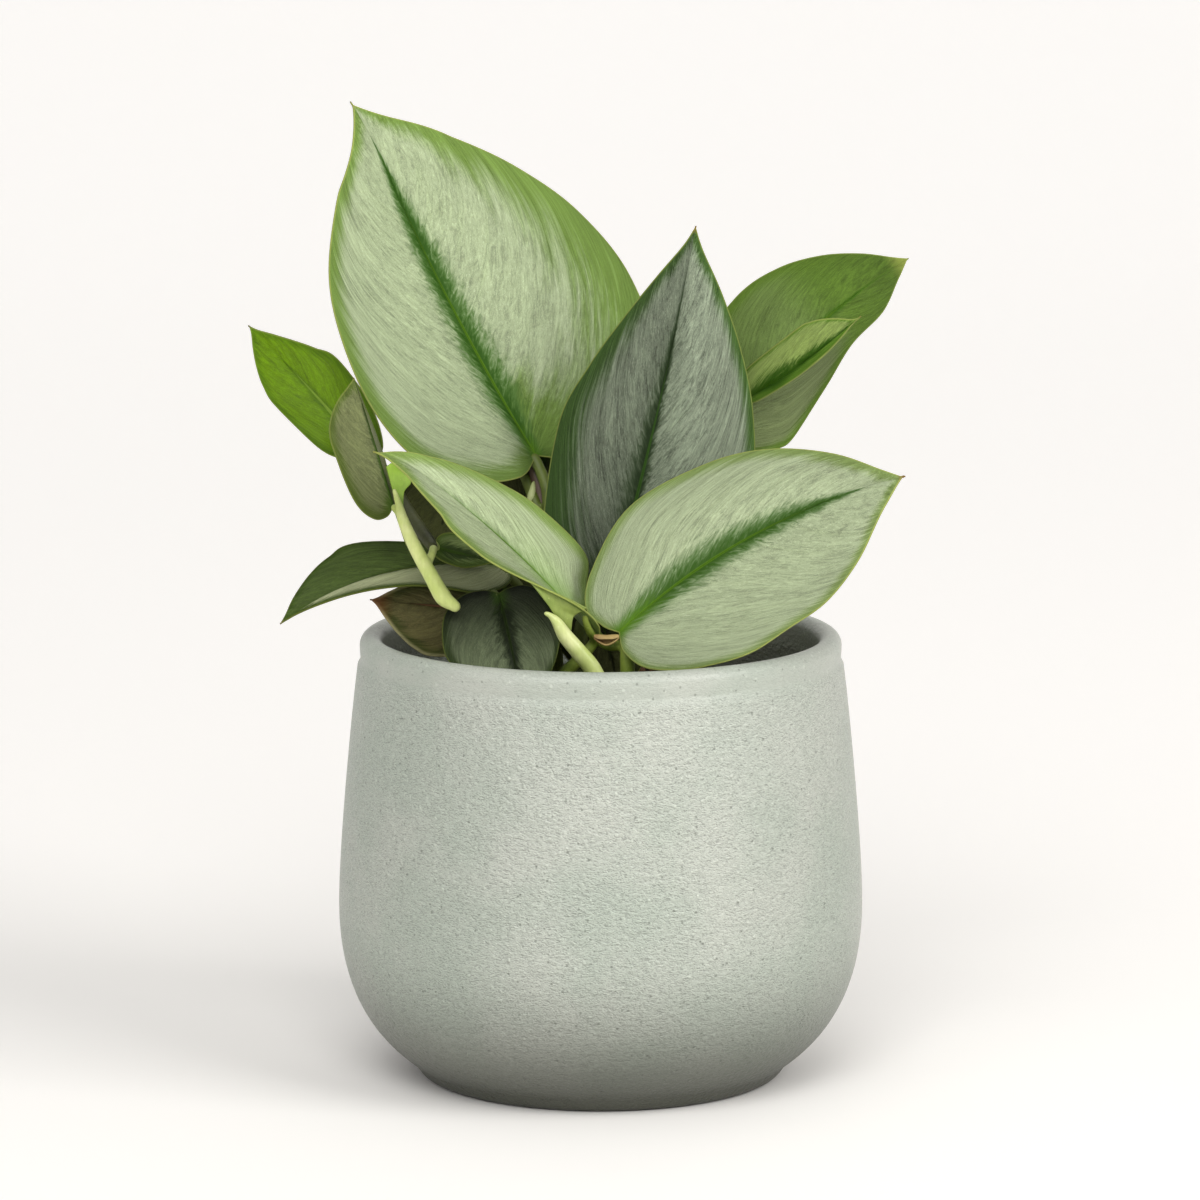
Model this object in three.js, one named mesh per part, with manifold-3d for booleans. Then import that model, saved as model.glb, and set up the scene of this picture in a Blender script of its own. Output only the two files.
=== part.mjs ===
// A potted moonlight scindapsus: a round glazed planter, its soil, and the vines, stalks and leaves of the plant.
// Millimetres. +X is to the right and +Y away from the viewer, +Z is up.
// The origin is the centre of the pot's flat underside.
import * as THREE from "three";
import { mergeVertices } from "three/addons/utils/BufferGeometryUtils.js";
import Module from "manifold-3d";

const wasm = await Module();
wasm.setup();

// Pot
const LIP_CREST_RADIUS = 66.7;
const LIP_HALF_THICKNESS = 3.3;
const POT_HEIGHT = 130.2;
const GROOVE_Z = 122.6;
const GROOVE_RADIUS = 69.8;
const NECK_RADIUS = 70.65;
const NECK_Z = 121;
const NECK_LEAN = 0.14;
const BELLY_RADIUS = 76.5;
const BELLY_Z = 50.3;
const FOOT_RADIUS = 55.3;
const FOOT_Z = 4;
const FOOT_SLOPE = THREE.MathUtils.degToRad(35);
const BASE_RADIUS = 52;
const BASE_BEVEL = 1.2;
const WALL = 5.6;
const FLOOR = 7;
const POT_SIDES = 56;

// Soil
const SOIL_TOP = 109.5;
const SOIL_DOME = 1.2;
const SOIL_SIDES = 40;
const ROOT_Z = 97;
const GAP = 0.3;

// Leaves
const BLADE = 0.9;
const VEIN_SPREAD = 1.3;
const CUP_REACH = 0.5;
const STALK_GAP = 0.5;
const STALK_SIDES = 8;

// Each leaf: base where the stalk joins, tip, and face, the way its upper side looks.
// wide: half widths left and right of the midrib, seen on the upper side with the tip up.
// fold: how far each half rises from the flat, curl: how far it then bends, and
// cup: how much more it bends close to the stalk, all in degrees.
// lobe: how far each half reaches back past the stalk; belly: where it is widest, from base to tip;
// full: how square its shoulder is; drip: the length of the fine tip. All are shares of the leaf's length.
// arch, sway and hook bend the midrib out of the face, sideways, and sideways at the tip alone, in mm.
// waist: a dip in the margin beyond the belly, and round: the width kept before it, as shares of the width.
const LEAVES = {
  leaf_tall_silver: {
    base: [-19, 12, 180],
    tip: [-71.5, 34, 282],
    face: [0.45, -0.84, 0.32],
    wide: [53, 55.5],
    fold: [23, 9],
    curl: [-12, -12],
    lobe: [0.05, 0.05],
    belly: [0.27, 0.38],
    full: [2.5, 1.63],
    drip: 0.055,
    arch: -8,
    sway: 3,
    hook: -2,
    rows: 16,
    color: 0x8fae8c,
  },
  leaf_centre_grey: {
    base: [3.3, -9, 144],
    tip: [27.5, 10, 247.5],
    face: [0, -0.98, 0.17],
    wide: [26.5, 32],
    fold: [12.5, 10],
    curl: [-11, -11],
    lobe: [0.06, 0.06],
    belly: [0.385, 0.375],
    full: [1.55, 1.62],
    drip: 0.03,
    arch: -2,
    rows: 14,
    color: 0x6f8478,
  },
  leaf_front_silver: {
    base: [7.5, -41, 136],
    tip: [86.3, -37, 181.3],
    face: [-0.33, -0.8, 0.5],
    wide: [31.5, 29],
    fold: [18, 10],
    curl: [-13, -13],
    lobe: [0.055, 0.06],
    belly: [0.34, 0.42],
    full: [2, 2],
    drip: 0.01,
    sway: -5.5,
    arch: -3,
    rows: 14,
    color: 0xa3bd9a,
  },
  leaf_slanted_silver: {
    base: [-5.5, -33, 139],
    tip: [-63.2, -44, 192],
    face: [0.38, -0.38, 0.85],
    wide: [22, 26],
    fold: [4, 0],
    curl: [0, 0],
    lobe: [0.06, 0.0],
    belly: [0.5, 0.3],
    full: [1.5, 1.6],
    drip: 0.055,
    arch: 2.5,
    hook: -5.5,
    cup: [105, 0],
    sway: -1.5,
    rows: 14,
    color: 0xa5c098,
  },
  leaf_bright_young: {
    base: [-71, 24, 181.5],
    tip: [-103, 26, 216.5],
    face: [-0.27, -0.96, 0.11],
    wide: [10.5, 15.5],
    fold: [9, 11],
    lobe: [0.13, 0.13],
    belly: [0.34, 0.38],
    full: [1.85, 1.85],
    drip: 0.045,
    arch: -6,
    sway: -1.5,
    rows: 12,
    color: 0x5f9a1e,
  },
  leaf_folded_grey: {
    base: [-59.2, -26, 171],
    tip: [-70.5, -22, 207.5],
    face: [-0.77, 0.64, 0],
    wide: [9, 10.4],
    fold: [20, 28],
    lobe: [0.28, 0.03],
    belly: [0.3, 0.48],
    full: [1.9, 1.9],
    drip: 0.03,
    sway: 2.5,
    rows: 12,
    color: 0x83907a,
  },
  leaf_arching_dark: {
    base: [-29, -9, 151],
    tip: [-91.7, -28, 137.3],
    face: [0.04, -0.45, 0.89],
    wide: [11.5, 15],
    fold: [-10, 4],
    lobe: [0.04, 0.04],
    belly: [0.15, 0.55],
    full: [0.9, 1.9],
    drip: 0.035,
    arch: 6,
    sway: 3,
    round: [1, 0.5],
    rows: 14,
    color: 0x45603c,
  },
  leaf_shade_dark: {
    base: [-38, 17, 184.5],
    tip: [-48.5, 13, 153],
    face: [0.1, -0.9, 0.3],
    wide: [21, 16.5],
    lobe: [0.06, 0.06],
    belly: [0.4, 0.55],
    full: [1.7, 2.4],
    rows: 10,
    color: 0x35402c,
  },
  leaf_small_dark: {
    base: [-47, -17, 157.5],
    tip: [-30, -14, 153],
    face: [0, -0.85, 0.55],
    wide: [6, 4.2],
    lobe: [0.03, 0.03],
    belly: [0.4, 0.4],
    full: [1.7, 1.7],
    rows: 10,
    color: 0x3f5335,
  },
  leaf_old_brown: {
    base: [-31.5, -14, 138.7],
    tip: [-66.5, -14, 142],
    face: [0, -1, 0.4],
    wide: [15, 8],
    lobe: [0.05, 0.05],
    belly: [0.45, 0.45],
    full: [1.7, 1.7],
    rows: 12,
    color: 0x4a4130,
  },
  leaf_heart_dark: {
    base: [-29, -30, 146.5],
    tip: [-21, -50, 112.5],
    face: [0, -0.85, 0.5],
    wide: [14.5, 19],
    lobe: [0.05, 0.14],
    belly: [0.38, 0.38],
    full: [1.7, 1.7],
    arch: 4,
    rows: 12,
    color: 0x5a6b5c,
  },
  leaf_back_green: {
    base: [40, 20, 190.3],
    tip: [89.9, 28, 236],
    face: [-0.05, -0.97, 0.23],
    wide: [22.7, 18],
    fold: [2, -26],
    lobe: [0.07, 0.06],
    belly: [0.37, 0.1],
    full: [1.9, 3.2],
    waist: [0, 0.26],
    drip: 0.02,
    arch: -3,
    sway: -4,
    rows: 14,
    color: 0x6c8f4e,
  },
  leaf_rolled_green: {
    base: [42, 16, 195.9],
    tip: [79, 12, 222.5],
    face: [-0.2, -0.9, 0.3],
    wide: [9.5, 3],
    fold: [35, 15],
    lobe: [0.03, 0.03],
    belly: [0.6, 0.4],
    full: [2, 2],
    drip: 0.2,
    sway: 1,
    rows: 12,
    color: 0x5f8b33,
  },
};

// Each stem: one or more runs, as points with the stem's radius there: [x, y, z, radius].
const STEMS = {
  stem_left: {
    color: 0xa9bd7c,
    runs: [
      [
        [-59, -29, 177.5, 0.9],
        [-57, -33, 172.5, 1.5],
        [-56, -35, 168.5, 1.8],
        [-52.5, -37, 160.5, 2],
        [-48, -38, 152.5, 2.2],
        [-44.5, -39, 146.5, 2.4],
        [-41.5, -39.5, 144.5, 2.1],
        [-39.6, -39.5, 143, 1.7],
      ],
      [
        [-49.5, -37, 155.5, 1.3],
        [-48, -33, 158.5, 1.1],
        [-47.7, -27, 159.6, 1.1],
        [-47.5, -22, 159.2, 1.1],
        [-47, -17, 157.5, 1],
      ],
      [
        [-56, -35, 168.5, 1.3],
        [-57.5, -31, 170, 1.1],
        [-59.2, -26, 171, 1],
      ],
      [
        [-71, 24, 181.5, 1.3],
        [-63, 10, 175.5, 2],
        [-57, -4, 167.5, 2.3],
        [-52.5, -16, 163, 2.3],
        [-49, -25, 160.5, 1.8],
        [-47.7, -30, 159.6, 1.2],
      ],
      [
        [-58, -1, 169, 1.8],
        [-57, 1.5, 163.5, 1.6],
        [-55, 2, 158, 1.6],
        [-52, 2.5, 151.5, 1.6],
        [-47, 3, 141, 1.7],
        [-41, 3.5, 118, 1.9],
        [-39, 3, ROOT_Z, 1.9],
      ],
    ],
  },
  stem_centre: {
    color: 0x8aa24a,
    runs: [
      [
        [-20, 12, 180.5, 1.6],
        [-17.5, 9.5, 176, 1.6],
        [-15.5, 6.5, 170.5, 1.7],
        [-15, 4, 163, 1.8],
        [-14, 3, 150, 2],
        [-13, 4, 125, 2],
        [-13, 5, ROOT_Z, 2],
      ],
      [
        [-38, 17, 184.5, 1.1],
        [-36.5, 15.5, 187, 1.2],
        [-32, 13.5, 186.5, 1.2],
        [-27, 12.3, 181.5, 1.3],
        [-22.5, 12, 174.5, 1.4],
        [-19.5, 8.5, 168, 1.6],
        [-16.5, 4.5, 161, 1.6],
      ],
      [
        [-20, 13, 177.5, 1.4],
        [-18, 12, 171, 3],
        [-16.5, 10, 163, 3.8],
        [-15, 8, 154, 3.2],
        [-14, 5, 146, 2],
      ],
    ],
  },
  stem_right: {
    color: 0x8aa24a,
    runs: [
      [
        [40, 20, 190.3, 1.3],
        [37.5, 19.5, 180, 1.5],
        [33, 18, 160, 1.8],
        [29, 16, 130, 2],
        [28, 15, ROOT_Z, 2],
      ],
      [
        [42, 16, 195.9, 1],
        [40.5, 15.5, 185, 1.1],
        [36, 16.5, 172, 1.2],
        [33, 18, 160, 1.3],
      ],
    ],
  },
  stalk_centre_grey: {
    color: 0x6d8440,
    runs: [
      [
        [3.3, -9, 144, 1.6],
        [-1.5, -9.5, 139.5, 1.8],
        [-5.5, -11, 133, 2.1],
        [-6.5, -13, 118, 2.3],
        [-6, -14, ROOT_Z, 2.4],
      ],
    ],
  },
  stalks_front: {
    color: 0xa3b878,
    runs: [
      [
        [7.5, -41, 136, 1.6],
        [7.5, -42, 130, 2],
        [8, -41, 118, 2.1],
        [9, -39, ROOT_Z, 2.2],
      ],
      [
        [-5.5, -33, 139, 1.4],
        [-3, -34.5, 136.5, 1.5],
        [-1.5, -35.5, 134, 1.5],
        [-5, -36, 129.5, 1.6],
        [-10.5, -34, 123.5, 1.9],
        [-16, -31.5, 113, 2],
        [-18, -30, ROOT_Z, 2],
      ],
      [
        [-2, -34.5, 136, 1.5],
        [2, -38, 133, 1.6],
        [7.5, -41.5, 133.5, 1.4],
      ],
    ],
  },
  stalk_arching: {
    color: 0x93a04c,
    runs: [
      [
        [-29, -9, 151, 1.2],
        [-26.5, -9.5, 148, 1.3],
        [-23, -7.5, 143.5, 1.4],
        [-20.5, -2, 133, 1.5],
        [-20, 0, ROOT_Z, 1.6],
      ],
    ],
  },
  stalk_heart: {
    color: 0x8d9c58,
    runs: [
      [
        [-29, -31, 144.7, 1.2],
        [-30.5, -27.5, 146, 1.2],
        [-29.5, -23.5, 143, 1.2],
        [-27.5, -20, 134, 1.3],
        [-26.5, -16, ROOT_Z, 1.5],
      ],
    ],
  },
  stalk_old: {
    color: 0x6f6440,
    runs: [
      [
        [-31.5, -14, 138.7, 1.1],
        [-31.5, -11.5, 131, 1.2],
        [-32, -8, ROOT_Z, 1.4],
      ],
    ],
  },
  new_shoot: {
    color: 0xb4c585,
    runs: [
      [
        [-16, -53, 144.8, 0.5],
        [-14.2, -53, 144, 0.8],
        [-12.3, -53, 142, 1.5],
        [-10, -52, 138, 2.1],
        [-6, -51, 133, 2.3],
        [-2, -50, 127.5, 2.4],
        [1.5, -49, 118, 2.4],
        [3, -48, ROOT_Z, 2.4],
      ],
    ],
  },
};

// Meshes and solids

const group = new THREE.Group();

// A closed mesh as a solid that can be joined and cut.
function solidOf(geometry) {
  const g = geometry.clone();
  g.deleteAttribute("normal");
  g.deleteAttribute("uv");
  const merged = mergeVertices(g, 1e-4);
  return new wasm.Manifold(
    new wasm.Mesh({
      numProp: 3,
      vertProperties: new Float32Array(merged.attributes.position.array),
      triVerts: new Uint32Array(merged.index.array),
    }),
  );
}

function geometryOf(solid) {
  const mesh = solid.getMesh();
  const g = new THREE.BufferGeometry();
  g.setAttribute("position", new THREE.BufferAttribute(mesh.vertProperties, 3));
  g.setIndex(new THREE.BufferAttribute(mesh.triVerts, 1));
  g.computeVertexNormals();
  return g;
}

// The largest body of a solid: a boolean can leave a loose scrap beside it.
function largest(solid) {
  const bodies = solid.decompose();
  bodies.sort((a, b) => b.volume() - a.volume());
  return bodies[0];
}

function grown(geometry, by) {
  const g = geometry.clone();
  g.computeVertexNormals();
  const p = g.attributes.position;
  const n = g.attributes.normal;
  for (let i = 0; i < p.count; i++) {
    p.setXYZ(
      i,
      p.getX(i) + by * n.getX(i),
      p.getY(i) + by * n.getY(i),
      p.getZ(i) + by * n.getZ(i),
    );
  }
  return g;
}

function addPiece(name, geometry, look) {
  const mesh = new THREE.Mesh(geometry, new THREE.MeshStandardMaterial(look));
  mesh.name = name;
  group.add(mesh);
}

function shell(points, triangles) {
  const g = new THREE.BufferGeometry();
  g.setAttribute("position", new THREE.Float32BufferAttribute(points.flatMap((p) => p.toArray()), 3));
  g.setIndex(triangles);
  return g;
}

// Leaf blades

const side = (value, right, other = 0) => (Array.isArray(value) ? value[right] : (value ?? other));

// Half of a flat leaf outline, from the notch at the stalk round the lobe to the tip.
// Each point is a share of the length along and of the half width across.
function outline(leaf, right) {
  const lobe = side(leaf.lobe, right);
  const belly = side(leaf.belly, right);
  const full = side(leaf.full, right);
  const waist = side(leaf.waist, right);
  const round = side(leaf.round, right, 1);
  const drip = leaf.drip ?? 0.05;
  const far = 1 - belly;
  const points = [
    [0, 0],
    [-lobe, 0.22 * round],
    [-0.75 * lobe, 0.55 * round],
    [0.3 * belly - 0.25 * lobe, 0.88 * round],
    [belly, 1],
  ];
  for (const q of [0.3, 0.55, 0.77, 0.93]) {
    const dip = waist * Math.exp(-(((q - 0.5) / 0.22) ** 2));
    points.push([belly + far * (1 - drip) * q, (1 - q ** full) * (1 - dip)]);
  }
  points.push([belly + far * (1 - 0.55 * drip), 0.035]);
  points.push([1, 0]);
  return new THREE.SplineCurve(points.map((p) => new THREE.Vector2(...p)));
}

// The leaf's midrib as a frame: place(s) is its point, and axes(s) its up and right there.
function midrib(leaf) {
  const base = new THREE.Vector3(...leaf.base);
  const along = new THREE.Vector3(...leaf.tip).sub(base);
  const heading = along.clone().normalize();
  const up = new THREE.Vector3(...leaf.face);
  up.addScaledVector(heading, -up.dot(heading)).normalize();
  const right = new THREE.Vector3().crossVectors(heading, up);
  const { arch = 0, sway = 0, hook = 0 } = leaf;
  const place = (s) => {
    const bow = s < 0 ? 4 * s : 4 * s * (1 - s);
    const end = Math.max(0, s - 0.82) / 0.18;
    return base
      .clone()
      .addScaledVector(along, s)
      .addScaledVector(up, arch * bow)
      .addScaledVector(right, sway * bow + hook * end * end);
  };
  const axes = (s) => {
    const at = THREE.MathUtils.clamp(s, 0.004, 0.996);
    const t = place(at + 0.004).sub(place(at - 0.004)).normalize();
    const n = up.clone().addScaledVector(t, -up.dot(t)).normalize();
    return { n, r: new THREE.Vector3().crossVectors(t, n) };
  };
  return { place, axes };
}

// A point of the blade: a and b are shares along and across, right is 0 or 1.
function bladePoint(leaf, rib, a, b, right) {
  const wide = side(leaf.wide, right);
  const fold = THREE.MathUtils.degToRad(side(leaf.fold, right));
  const near = Math.max(0, 1 - Math.max(a, 0) / CUP_REACH) ** 1.5;
  const bend = side(leaf.curl, right) + side(leaf.cup, right) * near;
  const curl = THREE.MathUtils.degToRad(bend) || 1e-4;
  const out = (Math.sin(fold + curl * b) - Math.sin(fold)) / curl;
  const rise = (Math.cos(fold) - Math.cos(fold + curl * b)) / curl;
  const { n, r } = rib.axes(a);
  return rib
    .place(a)
    .addScaledVector(r, (right ? 1 : -1) * out * wide)
    .addScaledVector(n, rise * wide);
}

// The blade's middle surface: each row is a vein, bowed from the midrib out to the margin.
function bladeGrid(leaf, rows, columns) {
  const rib = midrib(leaf);
  const edges = [outline(leaf, 0), outline(leaf, 1)];
  const grid = [];
  for (let i = 0; i <= rows; i++) {
    const t = i / rows;
    const start = t ** VEIN_SPREAD;
    const row = [];
    for (let j = -columns; j <= columns; j++) {
      const right = j > 0 ? 1 : 0;
      const v = Math.abs(j) / columns;
      const end = edges[right].getPoint(t);
      const a = (1 - v) ** 2 * start + 2 * (1 - v) * v * (start + 0.45 * (end.x - start)) + v * v * end.x;
      const b = 2 * (1 - v) * v * 0.55 * end.y + v * v * end.y;
      row.push(bladePoint(leaf, rib, a, b, right));
    }
    grid.push(row);
  }
  return grid;
}

// Both faces of a blade and its thin edge, closed. The base and the tip are single points of each face.
function bladeGeometry(leaf) {
  const rows = leaf.rows;
  const columns = 3;
  const grid = bladeGrid(leaf, rows, columns);
  const middle = [grid[0][columns]];
  for (let i = 1; i < rows; i++) {
    middle.push(...grid[i]);
  }
  middle.push(grid[rows][columns]);
  const last = middle.length - 1;
  const across = 2 * columns + 1;
  const at = (i, j) => (i === 0 ? 0 : i === rows ? last : 1 + (i - 1) * across + j);
  const faces = [];
  for (let i = 0; i < rows; i++) {
    for (let j = 0; j < across - 1; j++) {
      const [p, q, u, v] = [at(i, j), at(i, j + 1), at(i + 1, j), at(i + 1, j + 1)];
      if (i > 0) {
        faces.push(p, q, v);
      }
      if (i < rows - 1) {
        faces.push(p, v, u);
      }
    }
  }
  const flat = shell(middle, faces);
  flat.computeVertexNormals();
  const normal = flat.attributes.normal;
  const points = [];
  for (const s of [1, -1]) {
    middle.forEach((p, k) => {
      points.push(new THREE.Vector3().fromBufferAttribute(normal, k).multiplyScalar((s * BLADE) / 2).add(p));
    });
  }
  const under = last + 1;
  const triangles = [...faces];
  for (let k = 0; k < faces.length; k += 3) {
    triangles.push(faces[k] + under, faces[k + 2] + under, faces[k + 1] + under);
  }
  const edge = [];
  for (let i = 0; i <= rows; i++) {
    edge.push(at(i, across - 1));
  }
  for (let i = rows - 1; i > 0; i--) {
    edge.push(at(i, 0));
  }
  edge.forEach((p, k) => {
    const q = edge[(k + 1) % edge.length];
    triangles.push(p, p + under, q, q, p + under, q + under);
  });
  return shell(points, triangles);
}

// Stems

// A round run of varying radius with rounded ends, closed at both.
function runGeometry(run, extra) {
  const path = new THREE.CatmullRomCurve3(run.map((p) => new THREE.Vector3(p[0], p[1], p[2])));
  const steps = Math.max(5, 2 * (run.length - 1));
  const stations = [];
  for (let i = 0; i <= steps; i++) {
    const t = i / steps;
    const k = Math.min(Math.floor(t * (run.length - 1)), run.length - 2);
    const mix = t * (run.length - 1) - k;
    stations.push({
      centre: path.getPoint(t),
      tangent: path.getTangent(t),
      radius: run[k][3] * (1 - mix) + run[k + 1][3] * mix + extra,
    });
  }
  const capped = [];
  const cap = (s, sign) =>
    [0.85, 0.5].map((lift) => ({
      centre: s.centre.clone().addScaledVector(s.tangent, sign * lift * s.radius),
      tangent: s.tangent,
      radius: s.radius * Math.sqrt(1 - lift * lift),
    }));
  capped.push(...cap(stations[0], -1), ...stations, ...cap(stations[steps], 1).reverse());
  const points = [];
  let lean = new THREE.Vector3(1, 0.2, 0.1);
  for (const s of capped) {
    lean.addScaledVector(s.tangent, -lean.dot(s.tangent)).normalize();
    const bi = new THREE.Vector3().crossVectors(s.tangent, lean);
    for (let k = 0; k < STALK_SIDES; k++) {
      const a = (2 * Math.PI * k) / STALK_SIDES;
      points.push(
        s.centre
          .clone()
          .addScaledVector(lean, s.radius * Math.cos(a))
          .addScaledVector(bi, s.radius * Math.sin(a)),
      );
    }
  }
  const rings = capped.length;
  const first = stations[0];
  const final = stations[steps];
  points.push(first.centre.clone().addScaledVector(first.tangent, -first.radius));
  points.push(final.centre.clone().addScaledVector(final.tangent, final.radius));
  const triangles = [];
  for (let k = 0; k < STALK_SIDES; k++) {
    const next = (k + 1) % STALK_SIDES;
    for (let i = 0; i < rings - 1; i++) {
      const a = i * STALK_SIDES;
      const b = a + STALK_SIDES;
      triangles.push(a + k, a + next, b + next, a + k, b + next, b + k);
    }
    triangles.push(points.length - 2, next, k);
    const top = (rings - 1) * STALK_SIDES;
    triangles.push(points.length - 1, top + k, top + next);
  }
  return shell(points, triangles);
}

function stemSolid(stem, extra = 0) {
  return stem.runs.map((run) => solidOf(runGeometry(run, extra))).reduce((a, b) => a.add(b));
}

// Pot and soil

// A cubic bow from one point to the next, as [radius, height] pairs after the first point.
function bow(from, ctrl1, ctrl2, to, count) {
  const curve = new THREE.CubicBezierCurve(
    new THREE.Vector2(...from),
    new THREE.Vector2(...ctrl1),
    new THREE.Vector2(...ctrl2),
    new THREE.Vector2(...to),
  );
  return curve.getPoints(count).slice(1);
}

function potOutside() {
  const slope = [Math.cos(FOOT_SLOPE) * 13.4, Math.sin(FOOT_SLOPE) * 13.4];
  const lean = [Math.sin(NECK_LEAN) * 10.1, Math.cos(NECK_LEAN) * 10.1];
  const points = [
    new THREE.Vector2(0, 0),
    new THREE.Vector2(BASE_RADIUS, 0),
    new THREE.Vector2(BASE_RADIUS + BASE_BEVEL, BASE_BEVEL),
    new THREE.Vector2(FOOT_RADIUS, FOOT_Z),
  ];
  points.push(
    ...bow(
      [FOOT_RADIUS, FOOT_Z],
      [FOOT_RADIUS + slope[0], FOOT_Z + slope[1]],
      [BELLY_RADIUS, BELLY_Z - 25.7],
      [BELLY_RADIUS, BELLY_Z],
      7,
    ),
    ...bow(
      [BELLY_RADIUS, BELLY_Z],
      [BELLY_RADIUS, BELLY_Z + 17.3],
      [NECK_RADIUS + lean[0], NECK_Z - lean[1]],
      [NECK_RADIUS, NECK_Z],
      6,
    ),
    new THREE.Vector2(GROOVE_RADIUS, GROOVE_Z),
  );
  return points;
}

function potLip() {
  const points = [];
  for (let k = 0; k <= 6; k++) {
    const a = (Math.PI * k) / 6 - 0.05;
    points.push(
      new THREE.Vector2(
        LIP_CREST_RADIUS + LIP_HALF_THICKNESS * Math.cos(a),
        POT_HEIGHT - LIP_HALF_THICKNESS + LIP_HALF_THICKNESS * Math.sin(a),
      ),
    );
  }
  return points;
}

// The inside wall, from under the lip down to the floor, as far in from the outside as the wall is thick.
function potInside() {
  return [
    [64.6, 117],
    [66.8, 105],
    [69.6, 80],
    [BELLY_RADIUS - WALL, BELLY_Z],
    [67.5, 30],
    [60, 16],
    [50, FLOOR + 1],
    [44, FLOOR],
  ].map((p) => new THREE.Vector2(...p));
}

function turned(points, sides) {
  const g = new THREE.LatheGeometry(points, sides);
  g.rotateX(Math.PI / 2);
  return g;
}

const inside = potInside();
const potProfile = [...potOutside(), ...potLip(), ...inside, new THREE.Vector2(0, FLOOR)];
const pot = solidOf(turned(potProfile, POT_SIDES));
addPiece("pot", geometryOf(pot), { color: 0xaab2ab, roughness: 0.45, metalness: 0 });

// The plant

const blades = Object.entries(LEAVES).map(([name, leaf]) => {
  const geometry = bladeGeometry(leaf);
  addPiece(name, geometry, { color: leaf.color, roughness: 0.5, metalness: 0, side: THREE.FrontSide });
  return solidOf(grown(geometry, STALK_GAP)).add(solidOf(geometry));
});
const allBlades = blades.reduce((a, b) => a.add(b));

const stems = [];
for (const [name, stem] of Object.entries(STEMS)) {
  stems.push(stemSolid(stem, GAP));
  const cut = largest(stemSolid(stem).subtract(allBlades));
  addPiece(name, geometryOf(cut), { color: stem.color, roughness: 0.55, metalness: 0 });
}

// The soil follows the pot's inside, a little clear of it, and has a hole for each stem.
const wallIn = inside.filter((p) => p.y < SOIL_TOP).map((p) => new THREE.Vector2(p.x - GAP - 0.1, p.y + GAP));
const soilProfile = [
  new THREE.Vector2(0, FLOOR + GAP),
  ...wallIn.reverse(),
  new THREE.Vector2(65.6, SOIL_TOP),
  new THREE.Vector2(45, SOIL_TOP + 0.7 * SOIL_DOME),
  new THREE.Vector2(20, SOIL_TOP + SOIL_DOME),
  new THREE.Vector2(0, SOIL_TOP + SOIL_DOME),
];
const soil = solidOf(turned(soilProfile, SOIL_SIDES));
const potted = largest(stems.reduce((a, b) => a.subtract(b), soil));
addPiece("soil", geometryOf(potted), { color: 0x2f251c, roughness: 0.95, metalness: 0 });

export default group;
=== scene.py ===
# %% [markdown]
# # A potted moonlight scindapsus
# The real object is a young climbing houseplant in a round glazed planter. Its leaves are
# leathery hearts with a silver bloom and a dark green flame along the midrib. Here a plain
# solid model of it is dressed: each leaf, stem, and the planter get a finer piece of the same
# size and place, and each finish is built from noise and maths, with no pictures.

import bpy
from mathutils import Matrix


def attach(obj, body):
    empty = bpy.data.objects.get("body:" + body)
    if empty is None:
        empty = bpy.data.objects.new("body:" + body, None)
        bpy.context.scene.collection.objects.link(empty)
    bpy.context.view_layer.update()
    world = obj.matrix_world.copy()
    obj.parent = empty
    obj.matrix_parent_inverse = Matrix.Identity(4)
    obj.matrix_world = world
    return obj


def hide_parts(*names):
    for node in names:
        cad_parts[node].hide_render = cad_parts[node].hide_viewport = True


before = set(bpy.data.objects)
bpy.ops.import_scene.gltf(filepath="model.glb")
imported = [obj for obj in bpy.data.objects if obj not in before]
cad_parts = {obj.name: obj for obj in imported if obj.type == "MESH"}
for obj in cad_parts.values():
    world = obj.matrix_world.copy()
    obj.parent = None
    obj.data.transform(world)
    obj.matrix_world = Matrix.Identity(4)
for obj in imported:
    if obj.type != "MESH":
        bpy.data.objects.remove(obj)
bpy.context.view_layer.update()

# %% [markdown]
# Everything below is measured in millimetres, because a leaf is easier to think about that way,
# and `MM` turns a length into Blender's metres. `SEED` makes everything that is scattered fall
# the same way each time the script runs.

# %% Shared names
import math

import bpy
import numpy as np
from mathutils import Matrix, Vector

MM = 0.001
SEED = 11
FULL_TURN = 6.283
print("nodes in the plain model:", len(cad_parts))


# %% Small helpers for modelling
def deselect():
    """Operators act on all that is selected, so a new piece starts with nothing selected."""
    bpy.ops.object.select_all(action="DESELECT")


def named(name):
    """Give the object just made, and its mesh, a plain name."""
    made = bpy.context.object
    made.name = name
    made.data.name = name
    return made


def settle():
    """Move the object's place into its mesh, so that it sits at the origin."""
    bpy.ops.object.transform_apply(location=True, rotation=True, scale=True)


def modify(piece, kind, **settings):
    """Add one modifier with these settings and apply it."""
    tool = piece.modifiers.new(kind.lower(), kind)
    for name, value in settings.items():
        setattr(tool, name, value)
    bpy.ops.object.modifier_apply(modifier=tool.name)


def dress(piece, *finishes):
    """Give the piece these finishes in place of any it has."""
    piece.data.materials.clear()
    for finish in finishes:
        piece.data.materials.append(finish)
    print(piece.name, "faces:", len(piece.data.polygons), "finish:", finishes[0].name)


print("helpers:", [tool.__name__ for tool in (deselect, named, settle, modify, dress)])

# %% [markdown]
# ## Camera
# The photographer stood well back, a little above the plant, and looked down by under ten
# degrees. A long lens keeps the planter's sides nearly parallel. The focal length follows from
# how large the object is in the frame, both counted in pixels.

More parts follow.
